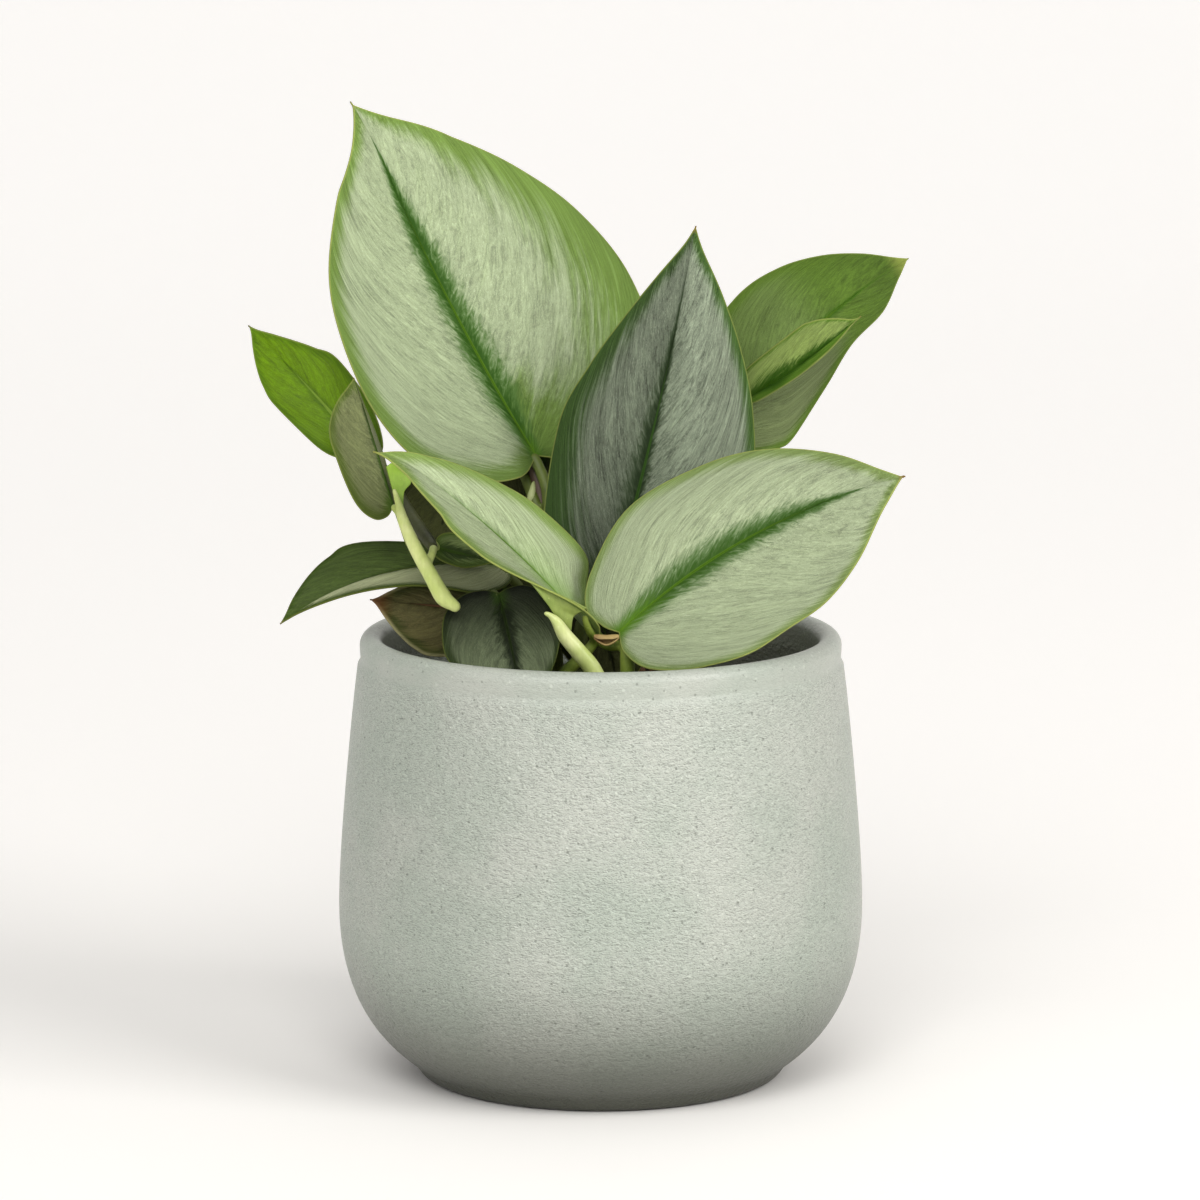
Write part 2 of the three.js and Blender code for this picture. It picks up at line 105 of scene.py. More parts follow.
# %% Place the camera
LOOK_DOWN = 9.57
FOCAL_PIXELS, FRAME_PIXELS = 6287, 1200
deselect()
bpy.ops.object.camera_add(location=(-0.0002, -1.8, 0.443))
camera = bpy.context.object
camera.name = "camera"
camera.rotation_euler = (math.radians(90 - LOOK_DOWN), 0, 0)
camera.data.sensor_width = 36
camera.data.lens = 36 * FOCAL_PIXELS / FRAME_PIXELS
camera.data.clip_end = 20
bpy.context.scene.camera = camera
print("lens, mm:", round(camera.data.lens, 1))

# %% [markdown]
# ## Studio
# The photo is a bright product shot: a warm white sweep with no visible corner, one broad light
# from the right that lays a faint shadow to the left, and soft light from everywhere else. A
# sweep is a plane whose back edge is pulled up, with the fold rounded by a bevel.

# %% Model the sweep
SWEEP_SIZE, WALL_HEIGHT, FOLD_WIDTH = 8, 5, 1.6
deselect()
bpy.ops.mesh.primitive_plane_add(size=SWEEP_SIZE, location=(0, -0.6, -0.0002))
sweep = named("studio_sweep")
bpy.ops.object.mode_set(mode="EDIT")
bpy.ops.mesh.select_all(action="DESELECT")
bpy.ops.object.mode_set(mode="OBJECT")
for edge in sweep.data.edges:
    ends = [sweep.data.vertices[k].co.y for k in edge.vertices]
    edge.select = min(ends) > SWEEP_SIZE / 2 - 0.1
bpy.ops.object.mode_set(mode="EDIT")
bpy.ops.mesh.select_mode(type="EDGE")
bpy.ops.mesh.extrude_region_move(TRANSFORM_OT_translate={"value": (0, 0, WALL_HEIGHT)})
bpy.ops.object.mode_set(mode="OBJECT")
settle()
modify(sweep, "BEVEL", width=FOLD_WIDTH, segments=24, limit_method="ANGLE")
bpy.ops.object.shade_smooth()
print("sweep faces:", len(sweep.data.polygons))

# %% [markdown]
# Area lights are soft because they are large. The key stands to the front and right, low enough
# that the planter's shadow reaches far to the left and back. A weaker one to the left lifts the
# other side of the glaze, and one above the camera fills the front. The world around them is a
# plain warm white.

# %% Light the studio
scene = bpy.context.scene
scene.view_settings.view_transform = "Standard"
world = bpy.data.worlds.new("studio_air")
world.use_nodes = True
air = world.node_tree.nodes["Background"].inputs
air["Color"].default_value = (1.0, 0.988, 0.972, 1)
air["Strength"].default_value = 0.365
scene.world = world


def soft_light(name, around, above, away, size, watts, colour=(1, 1, 1)):
    """A square light, its bearing and height in degrees, the rest in metres and watts."""
    flat = away * math.cos(math.radians(above))
    turn = math.radians(around)
    place = Vector((flat * math.sin(turn), -flat * math.cos(turn), 0.1))
    place.z += away * math.sin(math.radians(above))
    bpy.ops.object.light_add(type="AREA", location=place)
    lamp = bpy.context.object
    lamp.name = name
    lamp.data.size = size
    lamp.data.energy = watts
    lamp.data.color = colour
    aim = Vector((0, 0, 0.12)) - place
    lamp.rotation_euler = aim.to_track_quat("-Z", "Y").to_euler()
    return lamp


key = soft_light("key_light", 54, 32, 1.9, 1.0, 20, (1, 0.985, 0.96))
left = soft_light("left_light", -27, 31, 1.9, 1.4, 8.6)
front = soft_light("front_light", -4, 42, 2.3, 1.2, 23, (1, 0.99, 0.96))
print("lights:", [lamp.name for lamp in (key, left, front)])

# %% [markdown]
# ## Shader maths
# A finish is a small network of nodes. Written out link by link it is hard to read, so this
# class wraps one output socket and lets plain Python expressions add the Math nodes. Any other
# kind of node comes from `node`, which takes its settings and what feeds its sockets.

# %% A wrapper for sockets
class Wire:
    """One output socket of a finish. + - * / ** and abs() on it add Math nodes."""

    def __init__(self, tree, socket):
        self.tree = tree
        self.socket = socket

    def node(self, kind, settings=None, sockets=None, output=0):
        made = self.tree.nodes.new(kind)
        for name, value in (settings or {}).items():
            setattr(made, name, value)
        for name, value in (sockets or {}).items():
            if isinstance(value, Wire):
                self.tree.links.new(value.socket, made.inputs[name])
            else:
                made.inputs[name].default_value = value
        if output is None:
            return [Wire(self.tree, o) for o in made.outputs]
        return Wire(self.tree, made.outputs[output])

    def maths(self, operation, *values):
        return self.node("ShaderNodeMath", {"operation": operation}, dict(enumerate(values)))

    def __add__(self, other):
        return self.maths("ADD", self, other)

    def __sub__(self, other):
        return self.maths("SUBTRACT", self, other)

    def __rsub__(self, other):
        return self.maths("SUBTRACT", other, self)

    def __mul__(self, other):
        return self.maths("MULTIPLY", self, other)

    def __truediv__(self, other):
        return self.maths("DIVIDE", self, other)

    def __pow__(self, other):
        return self.maths("POWER", self, other)

    def __abs__(self):
        return self.maths("ABSOLUTE", self)

    __radd__ = __add__
    __rmul__ = __mul__

    def held(self):
        """This value, but never under 0 or over 1."""
        return self.node("ShaderNodeClamp", None, {"Value": self})

    def ramp(self, low, high):
        """0 where this is at low, 1 where it is at high, smooth between."""
        return self.node(
            "ShaderNodeMapRange",
            {"interpolation_type": "SMOOTHSTEP"},
            {"Value": self, "From Min": low, "From Max": high},
        )

    def place(self):
        """Where a point is on the object, in metres."""
        return self.node("ShaderNodeTexCoord", output="Object")

    def parts(self):
        """The three numbers of this vector."""
        return self.node("ShaderNodeSeparateXYZ", None, {"Vector": self}, output=None)

    def xyz(self, x, y, z):
        return self.node("ShaderNodeCombineXYZ", None, {"X": x, "Y": y, "Z": z})

    def noise(self, vector, scale=1.0, detail=2.0, rough=0.5, distort=0.0):
        feeds = {"Vector": vector, "Scale": scale, "Detail": detail, "Roughness": rough}
        return self.node("ShaderNodeTexNoise", None, {**feeds, "Distortion": distort})

    def tint(self, share, under, over):
        """The colour under, covered by the colour over as far as share says."""
        feeds = {"Factor": share, 6: under, 7: over}
        return self.node("ShaderNodeMix", {"data_type": "RGBA"}, feeds, output=2)

    def darken(self, share, colour):
        feeds = {"Factor": 1.0, 6: colour, 7: self.xyz(share, share, share)}
        return self.node(
            "ShaderNodeMix", {"data_type": "RGBA", "blend_type": "MULTIPLY"}, feeds, output=2
        )

    def bump(self, height, distance, strength=1.0):
        feeds = {"Height": height, "Distance": distance, "Strength": strength}
        return self.node("ShaderNodeBump", None, feeds)


def srgb(red, green, blue):
    """A colour as a paint program shows it, 0 to 255, as the linear colour that light uses."""
    shares = [c / 255 for c in (red, green, blue)]
    curved = [c / 12.92 if c <= 0.04045 else ((c + 0.055) / 1.055) ** 2.4 for c in shares]
    return (*curved, 1.0)


def new_finish(name):
    """An empty finish with a Principled shader: the material, its shader and a first wire."""
    material = bpy.data.materials.new(name)
    material.use_nodes = True
    tree = material.node_tree
    shader = tree.nodes["Principled BSDF"]
    return material, shader, Wire(tree, shader.outputs[0])


def feed(shader, **wires):
    """Link wires to the shader's sockets, or set a number on the socket itself."""
    for name, value in wires.items():
        plug = shader.inputs[name.replace("_", " ")]
        if isinstance(value, Wire):
            value.tree.links.new(value.socket, plug)
        else:
            plug.default_value = value


print("sage grey as linear light:", [round(c, 3) for c in srgb(190, 196, 186)])

# %% [markdown]
# The paper glows a little at the back, as a lit backdrop does. `far` is 0 up to the planter and
# grows towards 1 behind it: one minus e to the power of minus the depth.

# %% Finish of the sweep
paper, shader, wire = new_finish("sweep_paper")
_, depth, _ = wire.place().parts()
far = (1 - wire.maths("POWER", 2.718, depth * -1)).held()
feed(
    shader,
    Base_Color=srgb(247, 245, 243),
    Roughness=0.9,
    Specular_IOR_Level=0.1,
    Emission_Color=wire.tint(far, (0, 0, 0, 1), (1, 0.99, 0.975, 1)),
    Emission_Strength=0.39,
)
dress(sweep, paper)

# %% [markdown]
# ## Planter
# The planter is thrown pottery: a flat foot, a full belly, a neck that leans in and a thick
# rolled lip. It could be a profile turned on a lathe. Here a ring of edges is extruded up the
# wall and resized at each step, as a potter pulls a wall up, over the lip and down inside.

# %% Draw the planter's profile
def bow(start, out_from_start, into_end, end, steps):
    """Points of a smooth bow between two points, steered by two handles."""
    t = np.linspace(0, 1, steps + 1)[1:, None]
    a, b, c, d = (np.array(p, float) for p in (start, out_from_start, into_end, end))
    return list((1 - t) ** 3 * a + 3 * (1 - t) ** 2 * t * b + 3 * (1 - t) * t**2 * c + t**3 * d)


# All in mm: (radius, height). The handles leave the foot and the neck at these angles, in radians.
FOOT_ANGLE, NECK_ANGLE = 0.611, 0.14
foot, belly, neck = (55.3, 4.0), (76.5, 50.3), (70.65, 121.0)
foot_handle = (foot[0] + 13.4 * math.cos(FOOT_ANGLE), foot[1] + 13.4 * math.sin(FOOT_ANGLE))
neck_handle = (neck[0] + 10.1 * math.sin(NECK_ANGLE), neck[1] - 10.1 * math.cos(NECK_ANGLE))
outside = [(50.6, 0.0), (51.8, 0.15), (52.8, 0.7), (53.6, 1.6), (54.4, 2.7), foot]
outside += bow(foot, foot_handle, (76.5, 24.6), belly, 34)
outside += bow(belly, (76.5, 67.6), neck_handle, neck, 36)
outside += [(70.25, 121.7), (69.95, 122.3), (69.8, 122.9), (69.85, 123.6), (69.95, 124.8)]
lip = [
    (66.7 + 3.3 * math.cos(a), 126.9 + 3.3 * math.sin(a)) for a in np.linspace(0, math.pi, 15)
]
inside = [(63.6, 124.6), (63.9, 121), (64.6, 117), (65.7, 111), (66.8, 105), (68.4, 92)]
inside += [(69.6, 80), (70.6, 65), (70.9, 50.3), (69.8, 39), (67.5, 30), (64.4, 22.5)]
inside += [(60, 16), (55, 11), (50, 8), (44, 7)]
wall_line = [tuple(p) for p in outside + lip + inside]
print("points on the profile:", len(wall_line))

# %% Pull the wall up from a ring
def pulled_up(name, line, around):
    """A round solid: rings of edges are extruded up a line of (radius, height) points in mm."""
    deselect()
    radius, height = line[0]
    bpy.ops.mesh.primitive_circle_add(
        vertices=around, radius=radius * MM, location=(0, 0, height * MM), fill_type="NOTHING"
    )
    turned = named(name)
    bpy.ops.object.mode_set(mode="EDIT")
    bpy.ops.mesh.select_mode(type="EDGE")
    bpy.ops.mesh.select_all(action="SELECT")
    bpy.ops.mesh.edge_face_add()
    bpy.ops.mesh.region_to_loop()
    for next_radius, next_height in line[1:]:
        lift = (0, 0, (next_height - height) * MM)
        bpy.ops.mesh.extrude_edges_move(TRANSFORM_OT_translate={"value": lift})
        grow = next_radius / radius
        bpy.ops.transform.resize(value=(grow, grow, 1), center_override=(0, 0, next_height * MM))
        radius, height = next_radius, next_height
    bpy.ops.mesh.edge_face_add()
    return turned


def closed():
    """All faces turned outwards, edit mode left and the piece settled."""
    bpy.ops.mesh.select_all(action="SELECT")
    bpy.ops.mesh.normals_make_consistent(inside=False)
    bpy.ops.object.mode_set(mode="OBJECT")
    settle()


planter = pulled_up("planter", wall_line, 224)
closed()
bpy.ops.object.shade_smooth_by_angle(angle=math.radians(40))
print("planter faces:", len(planter.data.polygons))

# %% [markdown]
# The glaze is a satin sage grey over a pebbled clay, like orange peel: bumps about 2 mm across,
# fine worm-like ridges where the glaze crawled, tiny pits and beads, and few smooth places
# except the lip. Bump from noise gives all of it, and the same noise lets the glaze break a
# little paler on the ridges. A ridge is the line where a noise crosses its middle value. The
# same ridges looked up a little higher give painted light and shade: each ridge is paler on its
# upper side and darker under it. The colour is also painted darker towards the foot, a painted
# shade where the planter meets the floor.

# %% Finish of the planter
glaze, shader, wire = new_finish("sage_glaze")
spot = wire.place()
flat = wire.node("ShaderNodeMapping", None, {"Vector": spot, "Scale": (1, 1, 1.9)})
x, y, height = spot.parts()
smooth_lip = height.ramp(0.1195, 0.1235)
pebbles = wire.noise(flat, 520, 2, 0.5)
above = wire.node("ShaderNodeMapping", None, {"Vector": flat, "Location": (0.00007, 0, 0.00024)})
ridges, higher = [
    1 - abs(wire.noise(where, 800, 2, 0.55, 0.6) - 0.5).ramp(0, 0.16) for where in (flat, above)
]
# Painted light and shade: each ridge paler on its upper side and darker under it.
painted_ridge_shade = ridges - higher
grain = wire.noise(flat, 2100, 2, 0.6)
throwing = wire.noise(wire.xyz(x * 14, y * 14, height * 420), 1, 3, 0.6)
# Of each: how far the middle of the cell is, then the cell's own colour by chance.
pits, beads = [
    wire.node("ShaderNodeTexVoronoi", {"feature": "F1"}, {"Vector": spot, "Scale": size}, None)
    for size in (300, 430)
]
pit_here = 1 - pits[0].ramp(0.05, 0.16)
chance, _, _ = beads[1].parts()
beads = (1 - beads[0].ramp(0.08, 0.32)) * chance.ramp(0.62, 0.7)
rough_here = 1 - 0.6 * smooth_lip
relief = pebbles * 1.3 + 0.12 * ridges + 0.1 * grain + 0.5 * beads - 0.4 * pit_here
relief = relief * rough_here + 0.35 * throwing
cloud = wire.noise(spot, 26, 3, 0.55)
pale, green = srgb(171, 175, 166), srgb(159, 167, 156)
colour = wire.tint(cloud.ramp(0.3, 0.7), pale, green)
# The glaze's paler break on the ridges and its grain, with the painted ridge shade added.
glaze_break_and_shade = 0.2 * ridges + 0.36 * painted_ridge_shade + 0.8 * (grain - 0.5) + 0.4 * (pebbles - 0.5)
glaze_break_and_shade = glaze_break_and_shade * rough_here + 0.88 + 0.09 * smooth_lip
colour = wire.darken(glaze_break_and_shade + 0.2 * beads, colour)
colour = wire.tint(0.5 * pit_here, colour, srgb(88, 94, 84))
# Painted shade: darker towards the foot, where the planter meets the floor.
colour = wire.tint(height.ramp(0.051, -0.004), colour, srgb(62, 64, 52))
feed(
    shader,
    Base_Color=colour,
    Roughness=0.3 + 0.2 * pebbles,
    Specular_IOR_Level=0.55,
    Normal=wire.bump(relief, 0.0005, 0.85),
)
dress(planter, glaze)
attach(planter, "root")
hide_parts("pot")

# %% [markdown]
# ## Potting mix
# The mix fills the pot to 20 mm under the lip. It is dark bark and peat with a few pale
# crumbs, and it matters from above, where the photograph doesn't look. Its top face is inset
# into many rings, lifted into gentle lumps by a clouds texture, and then strewn with chips.

# %% Model the body of the mix
mix_line = [(43.6, 7.4), (49.6, 8.5), (59.5, 16.5), (66.9, 30.5), (70.3, 50.3), (69, 80)]
mix_line += [(66.2, 105), (65.2, 109.3)]
RINGS, RING_WIDTH = 40, 1.6
MIX_TOP = 109
mix = pulled_up("potting_mix", mix_line, 96)
bpy.ops.mesh.select_mode(type="FACE")
for ring in range(RINGS):
    bpy.ops.mesh.inset(thickness=RING_WIDTH * MM)
closed()
top = mix.vertex_groups.new(name="top")
top.add([v.index for v in mix.data.vertices if v.co.z > MIX_TOP * MM], 1.0, "REPLACE")
print("mix faces:", len(mix.data.polygons))

# %% Make its surface lumpy
for label, size, height in (("lumps", 9, 2.4), ("crumbs", 2.6, 1.3)):
    clouds = bpy.data.textures.new(label, "CLOUDS")
    clouds.noise_scale = size * MM
    settings = {"texture_coords": "LOCAL", "direction": "Z", "vertex_group": "top"}
    modify(mix, "DISPLACE", texture=clouds, strength=height * MM, **settings)
bpy.ops.object.shade_smooth_by_angle(angle=math.radians(50))
mix_points = np.array([v.co for v in mix.data.vertices if v.co.z > (MIX_TOP - 3) * MM]) / MM
print("surface between", mix_points[:, 2].min().round(1), "and", mix_points[:, 2].max().round(1))


# %% Strew chips and crumbs
STREWN_TO = 61


def strew(name, count, size, stretch, seed):
    """Rough chips that lie about on the mix, as one piece: one ball, copied and knocked about."""
    chance = np.random.default_rng(seed)
    deselect()
    bpy.ops.mesh.primitive_ico_sphere_add(subdivisions=1, radius=1, location=(0, 0, 0))
    chip = bpy.context.object
    ball = np.array([v.co for v in chip.data.vertices])
    for k in range(count):
        if k:
            chip = chip.copy()
            chip.data = chip.data.copy()
            bpy.context.collection.objects.link(chip)
            chip.select_set(True)
        reach, around = STREWN_TO * math.sqrt(chance.random()), FULL_TURN * chance.random()
        spot = np.array([reach * math.cos(around), reach * math.sin(around)])
        near = np.argmin(((mix_points[:, :2] - spot) ** 2).sum(1))
        rough = ball * (1 + 0.45 * (chance.random((len(ball), 1)) - 0.5))
        rough = rough * size * (0.55 + 0.9 * chance.random()) * np.array(stretch)
        spin = Matrix.Rotation(FULL_TURN * chance.random(), 3, "Z")
        tip = Matrix.Rotation(0.9 * (chance.random() - 0.5), 3, "X")
        rough = rough @ np.array(spin @ tip).T
        lift = mix_points[near, 2] + 0.25 * size * stretch[2]
        chip.data.vertices.foreach_set("co", ((rough + [*spot, lift]) * MM).ravel())
    bpy.ops.object.join()
    return named(name)


bark = strew("bark_chips", 420, 1.9, (1.5, 0.8, 0.45), SEED)
grit = strew("pale_grit", 70, 1.1, (1, 0.9, 0.8), SEED + 1)
print("chip faces:", len(bark.data.polygons), "grit faces:", len(grit.data.polygons))

# %% Finish of the mix
peat, shader, wire = new_finish("damp_peat")
coarse = wire.noise(wire.place(), 220, 4, 0.65)
fine = wire.noise(wire.place(), 1300, 3, 0.7)
colour = wire.tint(coarse.ramp(0.35, 0.7), srgb(38, 29, 22), srgb(70, 53, 39))
feed(
    shader,
    Base_Color=wire.tint(0.6 * fine.ramp(0.5, 0.8), colour, srgb(96, 76, 56)),
    Roughness=0.92,
    Specular_IOR_Level=0.2,
    Normal=wire.bump(coarse + 0.5 * fine, 0.0015),
)
chips, shader, wire = new_finish("bark")
shade = wire.noise(wire.place(), 160, 2)
fibre = wire.noise(wire.place(), 1800, 3, 0.6)
colour = wire.tint(shade.ramp(0.3, 0.75), srgb(46, 33, 24), srgb(110, 80, 55))
feed(
    shader,
    Base_Color=wire.tint(0.5 * fibre, colour, srgb(62, 46, 34)),
    Roughness=0.85,
    Specular_IOR_Level=0.25,
    Normal=wire.bump(fibre, 0.0005),
)
crumb, shader, wire = new_finish("pumice_grit")
pores = wire.noise(wire.place(), 2200, 3, 0.7)
feed(
    shader,
    Base_Color=wire.tint(pores, srgb(150, 140, 122), srgb(205, 198, 182)),
    Roughness=0.9,
    Specular_IOR_Level=0.2,
    Normal=wire.bump(pores, 0.0004),
)
for piece, finish in ((mix, peat), (bark, chips), (grit, crumb)):
    dress(piece, finish)
    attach(piece, "root")
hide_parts("soil")

# %% [markdown]
# ## Leaves
# Every blade is the same kind of surface. A midrib runs from the stalk to the tip. From it the
# veins leave on both sides and bow towards the tip until they reach the margin. So a flat grid
# fits: its middle column is the midrib and each of its rows is a pair of veins. The numbers of
# each leaf say where its base and tip are, which way its face looks, how wide each half is, and
# how each half folds and curls. They began as the ones that the plain model was built from, and
# the outlines were then brought closer to the photograph by a few millimetres.

# %% The measures of the leaves
# base, tip: where the stalk joins and where the leaf ends; face: the way its upper side looks;
# wide, lobe, belly, full, drip, waist, round: the outline of the left and the right half;
# fold, curl, cup: how the halves bend, in degrees; arch, sway, hook: how the midrib bends.
# Two numbers in brackets are for the left and the right half, one number is for both.
LEAVES = {
    "leaf_tall_silver": dict(
        base=(-19, 12, 180), tip=(-71.5, 34, 282), face=(0.45, -0.84, 0.32), wide=(48.7, 56.6),
        lobe=0.05, belly=(0.22, 0.33), full=(2.9, 1.95), drip=0.045, fold=(23, 9), curl=-12,
        arch=-8, sway=1.8, hook=-2,
    ),
    "leaf_centre_grey": dict(
        base=(3.3, -9, 144), tip=(27.5, 10, 247.5), face=(0, -0.98, 0.17), wide=(27.3, 31.4),
        lobe=0.06, belly=(0.4, 0.355), full=(1.43, 1.7), drip=0.03, fold=(12.5, 10), curl=-11,
        arch=-2, sway=1.2,
    ),
    "leaf_front_silver": dict(
        base=(5.2, -41, 137), tip=(86.3, -37, 181.3), face=(-0.33, -0.8, 0.5), wide=(27.1, 33.1),
        lobe=(0.02, 0.038), belly=(0.255, 0.27), full=(2.4, 4.1), drip=0.03, round=(0.8, 0.9),
        fold=(18, 10), curl=-13, arch=-3, sway=-8.5,
    ),
    "leaf_slanted_silver": dict(
        base=(-5.5, -33, 139), tip=(-63.2, -44, 192), face=(0.38, -0.38, 0.85), wide=(17.9, 20.6),
        lobe=(0.025, 0), belly=(0.58, 0.09), full=(1.43, 2.82), drip=0.055, round=(1, 0.65),
        fold=(5.6, 15), curl=0, cup=(105, 0), arch=4.9, sway=-3.4, hook=-5.5,
    ),
    "leaf_bright_young": dict(
        base=(-71, 24, 181.5), tip=(-103, 26, 216.5), face=(-0.27, -0.96, 0.11), wide=(11, 13.1),
        lobe=(0, 0.13), belly=(0.52, 0.485), full=(1.8, 1.26), drip=0.045, fold=(9, 11), arch=-6,
        sway=-0.8,
    ),
    "leaf_folded_grey": dict(
        base=(-59.2, -26, 171), tip=(-70.5, -22, 207.5), face=(-0.77, 0.64, 0), wide=(8.4, 12.2),
        lobe=(0.3, 0.06), belly=(0.3, 0.46), full=(1.9, 3.2), drip=0.03, fold=(34, 28),
    ),
    "leaf_arching_dark": dict(
        base=(-29, -9, 151), tip=(-91.7, -28, 137.3), face=(0.04, -0.45, 0.89), wide=(11.5, 15),
        lobe=0.04, belly=(0.15, 0.55), full=(0.9, 1.9), drip=0.035, round=(1, 0.5), fold=(-10, 4),
        arch=6, sway=3,
    ),
    "leaf_shade_dark": dict(
        base=(-38, 17, 184.5), tip=(-48.5, 13, 153), face=(0.1, -0.9, 0.3), wide=(21, 16.5),
        lobe=0.06, belly=(0.4, 0.55), full=(1.7, 2.4),
    ),
    "leaf_small_dark": dict(
        base=(-47, -17, 157.5), tip=(-30, -14, 153), face=(0, -0.85, 0.55), wide=(6, 4.2),
        lobe=0.03, belly=0.4, full=1.7,
    ),
    "leaf_old_brown": dict(
        base=(-31.5, -14, 138.7), tip=(-66.5, -14, 142), face=(0, -1, 0.4), wide=(15, 8), lobe=0.05,
        belly=0.45, full=1.7,
    ),
    "leaf_heart_dark": dict(
        base=(-29, -30, 146.5), tip=(-21, -50, 112.5), face=(0, -0.85, 0.5), wide=(14.5, 19),
        lobe=(0.03, 0.05), belly=0.38, full=1.7, arch=4,
    ),
    "leaf_back_green": dict(
        base=(40, 20, 190.3), tip=(89.9, 28, 236), face=(-0.05, -0.97, 0.23), wide=(22.7, 18),
        lobe=(0.07, 0.12), belly=(0.37, 0.1), full=(1.9, 3.2), drip=0.02, waist=(0, 0.26),
        fold=(2, -26), arch=-3, sway=-4,
    ),
    "leaf_rolled_green": dict(
        base=(42, 16, 195.9), tip=(75.5, 12, 221), face=(-0.2, -0.9, 0.3), wide=(9.5, 3), lobe=0.03,
        belly=(0.6, 0.4), full=2, drip=0.1, fold=(35, 15), sway=1,
    ),
}
print("leaves:", len(LEAVES))


# %% Outline and midrib of a leaf
def of_side(leaf, key, right, other=0.0):
    """One half's share of a measure, which may have one number or two."""
    value = leaf.get(key, other)
    return value[right] if isinstance(value, tuple) else value


def through(points, t):
    """Points at t of a smooth curve through the given points, the same share of t for each gap."""
    points = np.array(points, float)
    last = len(points) - 1
    k = np.minimum((t * last).astype(int), last - 1)
    u = (t * last - k)[:, None]
    before, here = points[np.maximum(k - 1, 0)], points[k]
    after, later = points[k + 1], points[np.minimum(k + 2, last)]
    v0, v1 = (after - before) / 2, (later - here) / 2
    cube = (2 * here - 2 * after + v0 + v1) * u**3
    return cube + (3 * after - 3 * here - 2 * v0 - v1) * u**2 + v0 * u + here


def half_outline(leaf, right, t):
    """Points of one half's margin, as shares of the length and of the half width."""
    lobe, belly, full, waist = (of_side(leaf, k, right) for k in ("lobe", "belly", "full", "waist"))
    turn, drip = of_side(leaf, "round", right, 1.0), leaf.get("drip", 0.05)
    points = [(0, 0), (-lobe, 0.22 * turn), (-0.75 * lobe, 0.55 * turn)]
    points += [(0.3 * belly - 0.25 * lobe, 0.88 * turn), (belly, 1)]
    for q in (0.3, 0.55, 0.77, 0.93):
        dip = waist * math.exp(-(((q - 0.5) / 0.22) ** 2))
        points.append((belly + (1 - belly) * (1 - drip) * q, (1 - q**full) * (1 - dip)))
    points += [(belly + (1 - belly) * (1 - 0.55 * drip), 0.014), (1, 0)]
    return through(points, t)


def midrib(leaf):
    """The midrib's point at a share of its length, and the leaf's up and right there."""
    base, tip = np.array(leaf["base"], float), np.array(leaf["tip"], float)
    along = tip - base
    heading = along / np.linalg.norm(along)
    face = np.array(leaf["face"], float)
    face -= face.dot(heading) * heading
    face /= np.linalg.norm(face)
    across = np.cross(heading, face)
    arch, sway, hook = (leaf.get(k, 0) for k in ("arch", "sway", "hook"))

    def place(s):
        s = s[..., None]
        rise = np.where(s < 0, 4 * s, 4 * s * (1 - s))
        end = np.maximum(0, s - 0.82) / 0.18
        return base + along * s + face * arch * rise + across * (sway * rise + hook * end**2)

    def axes(s):
        s = np.clip(s, 0.004, 0.996)
        step = place(s + 0.004) - place(s - 0.004)
        step /= np.linalg.norm(step, axis=-1, keepdims=True)
        up = face - (step @ face)[..., None] * step
        up /= np.linalg.norm(up, axis=-1, keepdims=True)
        return up, np.cross(step, up)

    return place, axes


print("outline of the tall leaf:", half_outline(LEAVES["leaf_tall_silver"], 1, np.array([0.5])))

# %% [markdown]
# A grid primitive gives the faces and the order of the points. Each point's place in the grid
# then says which vein it is on and how far out, and `on_blade` moves it onto the leaf. Two
# slow ripples and a slight quilting between the veins keep the surface from looking machined.
# The finish needs to know where on the leaf it is, so that is stored on the points: "blade"
# holds where a fine vein starts on the midrib, the way out from the midrib and the way in from
# the margin, all in mm, and "along" is the share of the leaf's length. The fine veins sweep
# towards the tip, more so than the rows of the grid.


# %% Move a grid onto a leaf
LONG_RIPPLES, SHORT_RIPPLES = 17, 41


def on_blade(leaf, v, t, ripple, seed):
    """Points of the blade for v from -1 to 1 across and t from 0 to 1 along, in mm."""
    place, axes = midrib(leaf)
    right = v > 0
    edges = [half_outline(leaf, side, t) for side in (0, 1)]
    end = np.where(right[:, None], edges[1], edges[0])
    s, w = t**1.3, np.abs(v)
    a = (1 - w) ** 2 * s + 2 * (1 - w) * w * (s + 0.45 * (end[:, 0] - s)) + w**2 * end[:, 0]
    b = 2 * (1 - w) * w * 0.55 * end[:, 1] + w**2 * end[:, 1]

    def pick(key):
        return np.where(right, of_side(leaf, key, 1), of_side(leaf, key, 0))

    wide, fold = pick("wide"), np.radians(pick("fold"))
    near = np.maximum(0, 1 - np.maximum(a, 0) / 0.5) ** 1.5
    curl = np.radians(pick("curl") + pick("cup") * near)
    curl = np.where(np.abs(curl) < 1e-4, 1e-4, curl)
    out = (np.sin(fold + curl * b) - np.sin(fold)) / curl * wide
    rise = (np.cos(fold) - np.cos(fold + curl * b)) / curl * wide
    p, q = np.random.default_rng(seed).random(2) * 6.3
    side = np.where(right, 1.0, -1.0)
    taper = np.clip(t * (1 - t) * 6, 0, 1)
    rise = rise + ripple * taper * b**2 * np.sin(t * LONG_RIPPLES + p + side)
    rise = rise + 0.35 * ripple * taper * b * np.sin(t * SHORT_RIPPLES + q * side + 3 * b)
    rise = rise - 0.28 * np.exp(-((w * wide / 0.7) ** 2)) * taper
    up, across = axes(a)
    return place(a) + across * (side * out)[:, None] + up * rise[:, None], a


def flat_grid(name, rows, columns):
    """A flat grid of one unit by one, whose points are moved later."""
    deselect()
    bpy.ops.mesh.primitive_grid_add(
        x_subdivisions=columns, y_subdivisions=rows, size=1, location=(0, 0, 0)
    )
    return named(name)


def move_points(piece, points):
    """Move all points of a piece to these places in mm."""
    piece.data.vertices.foreach_set("co", (points * MM).astype(np.float32).ravel())
    piece.data.update()


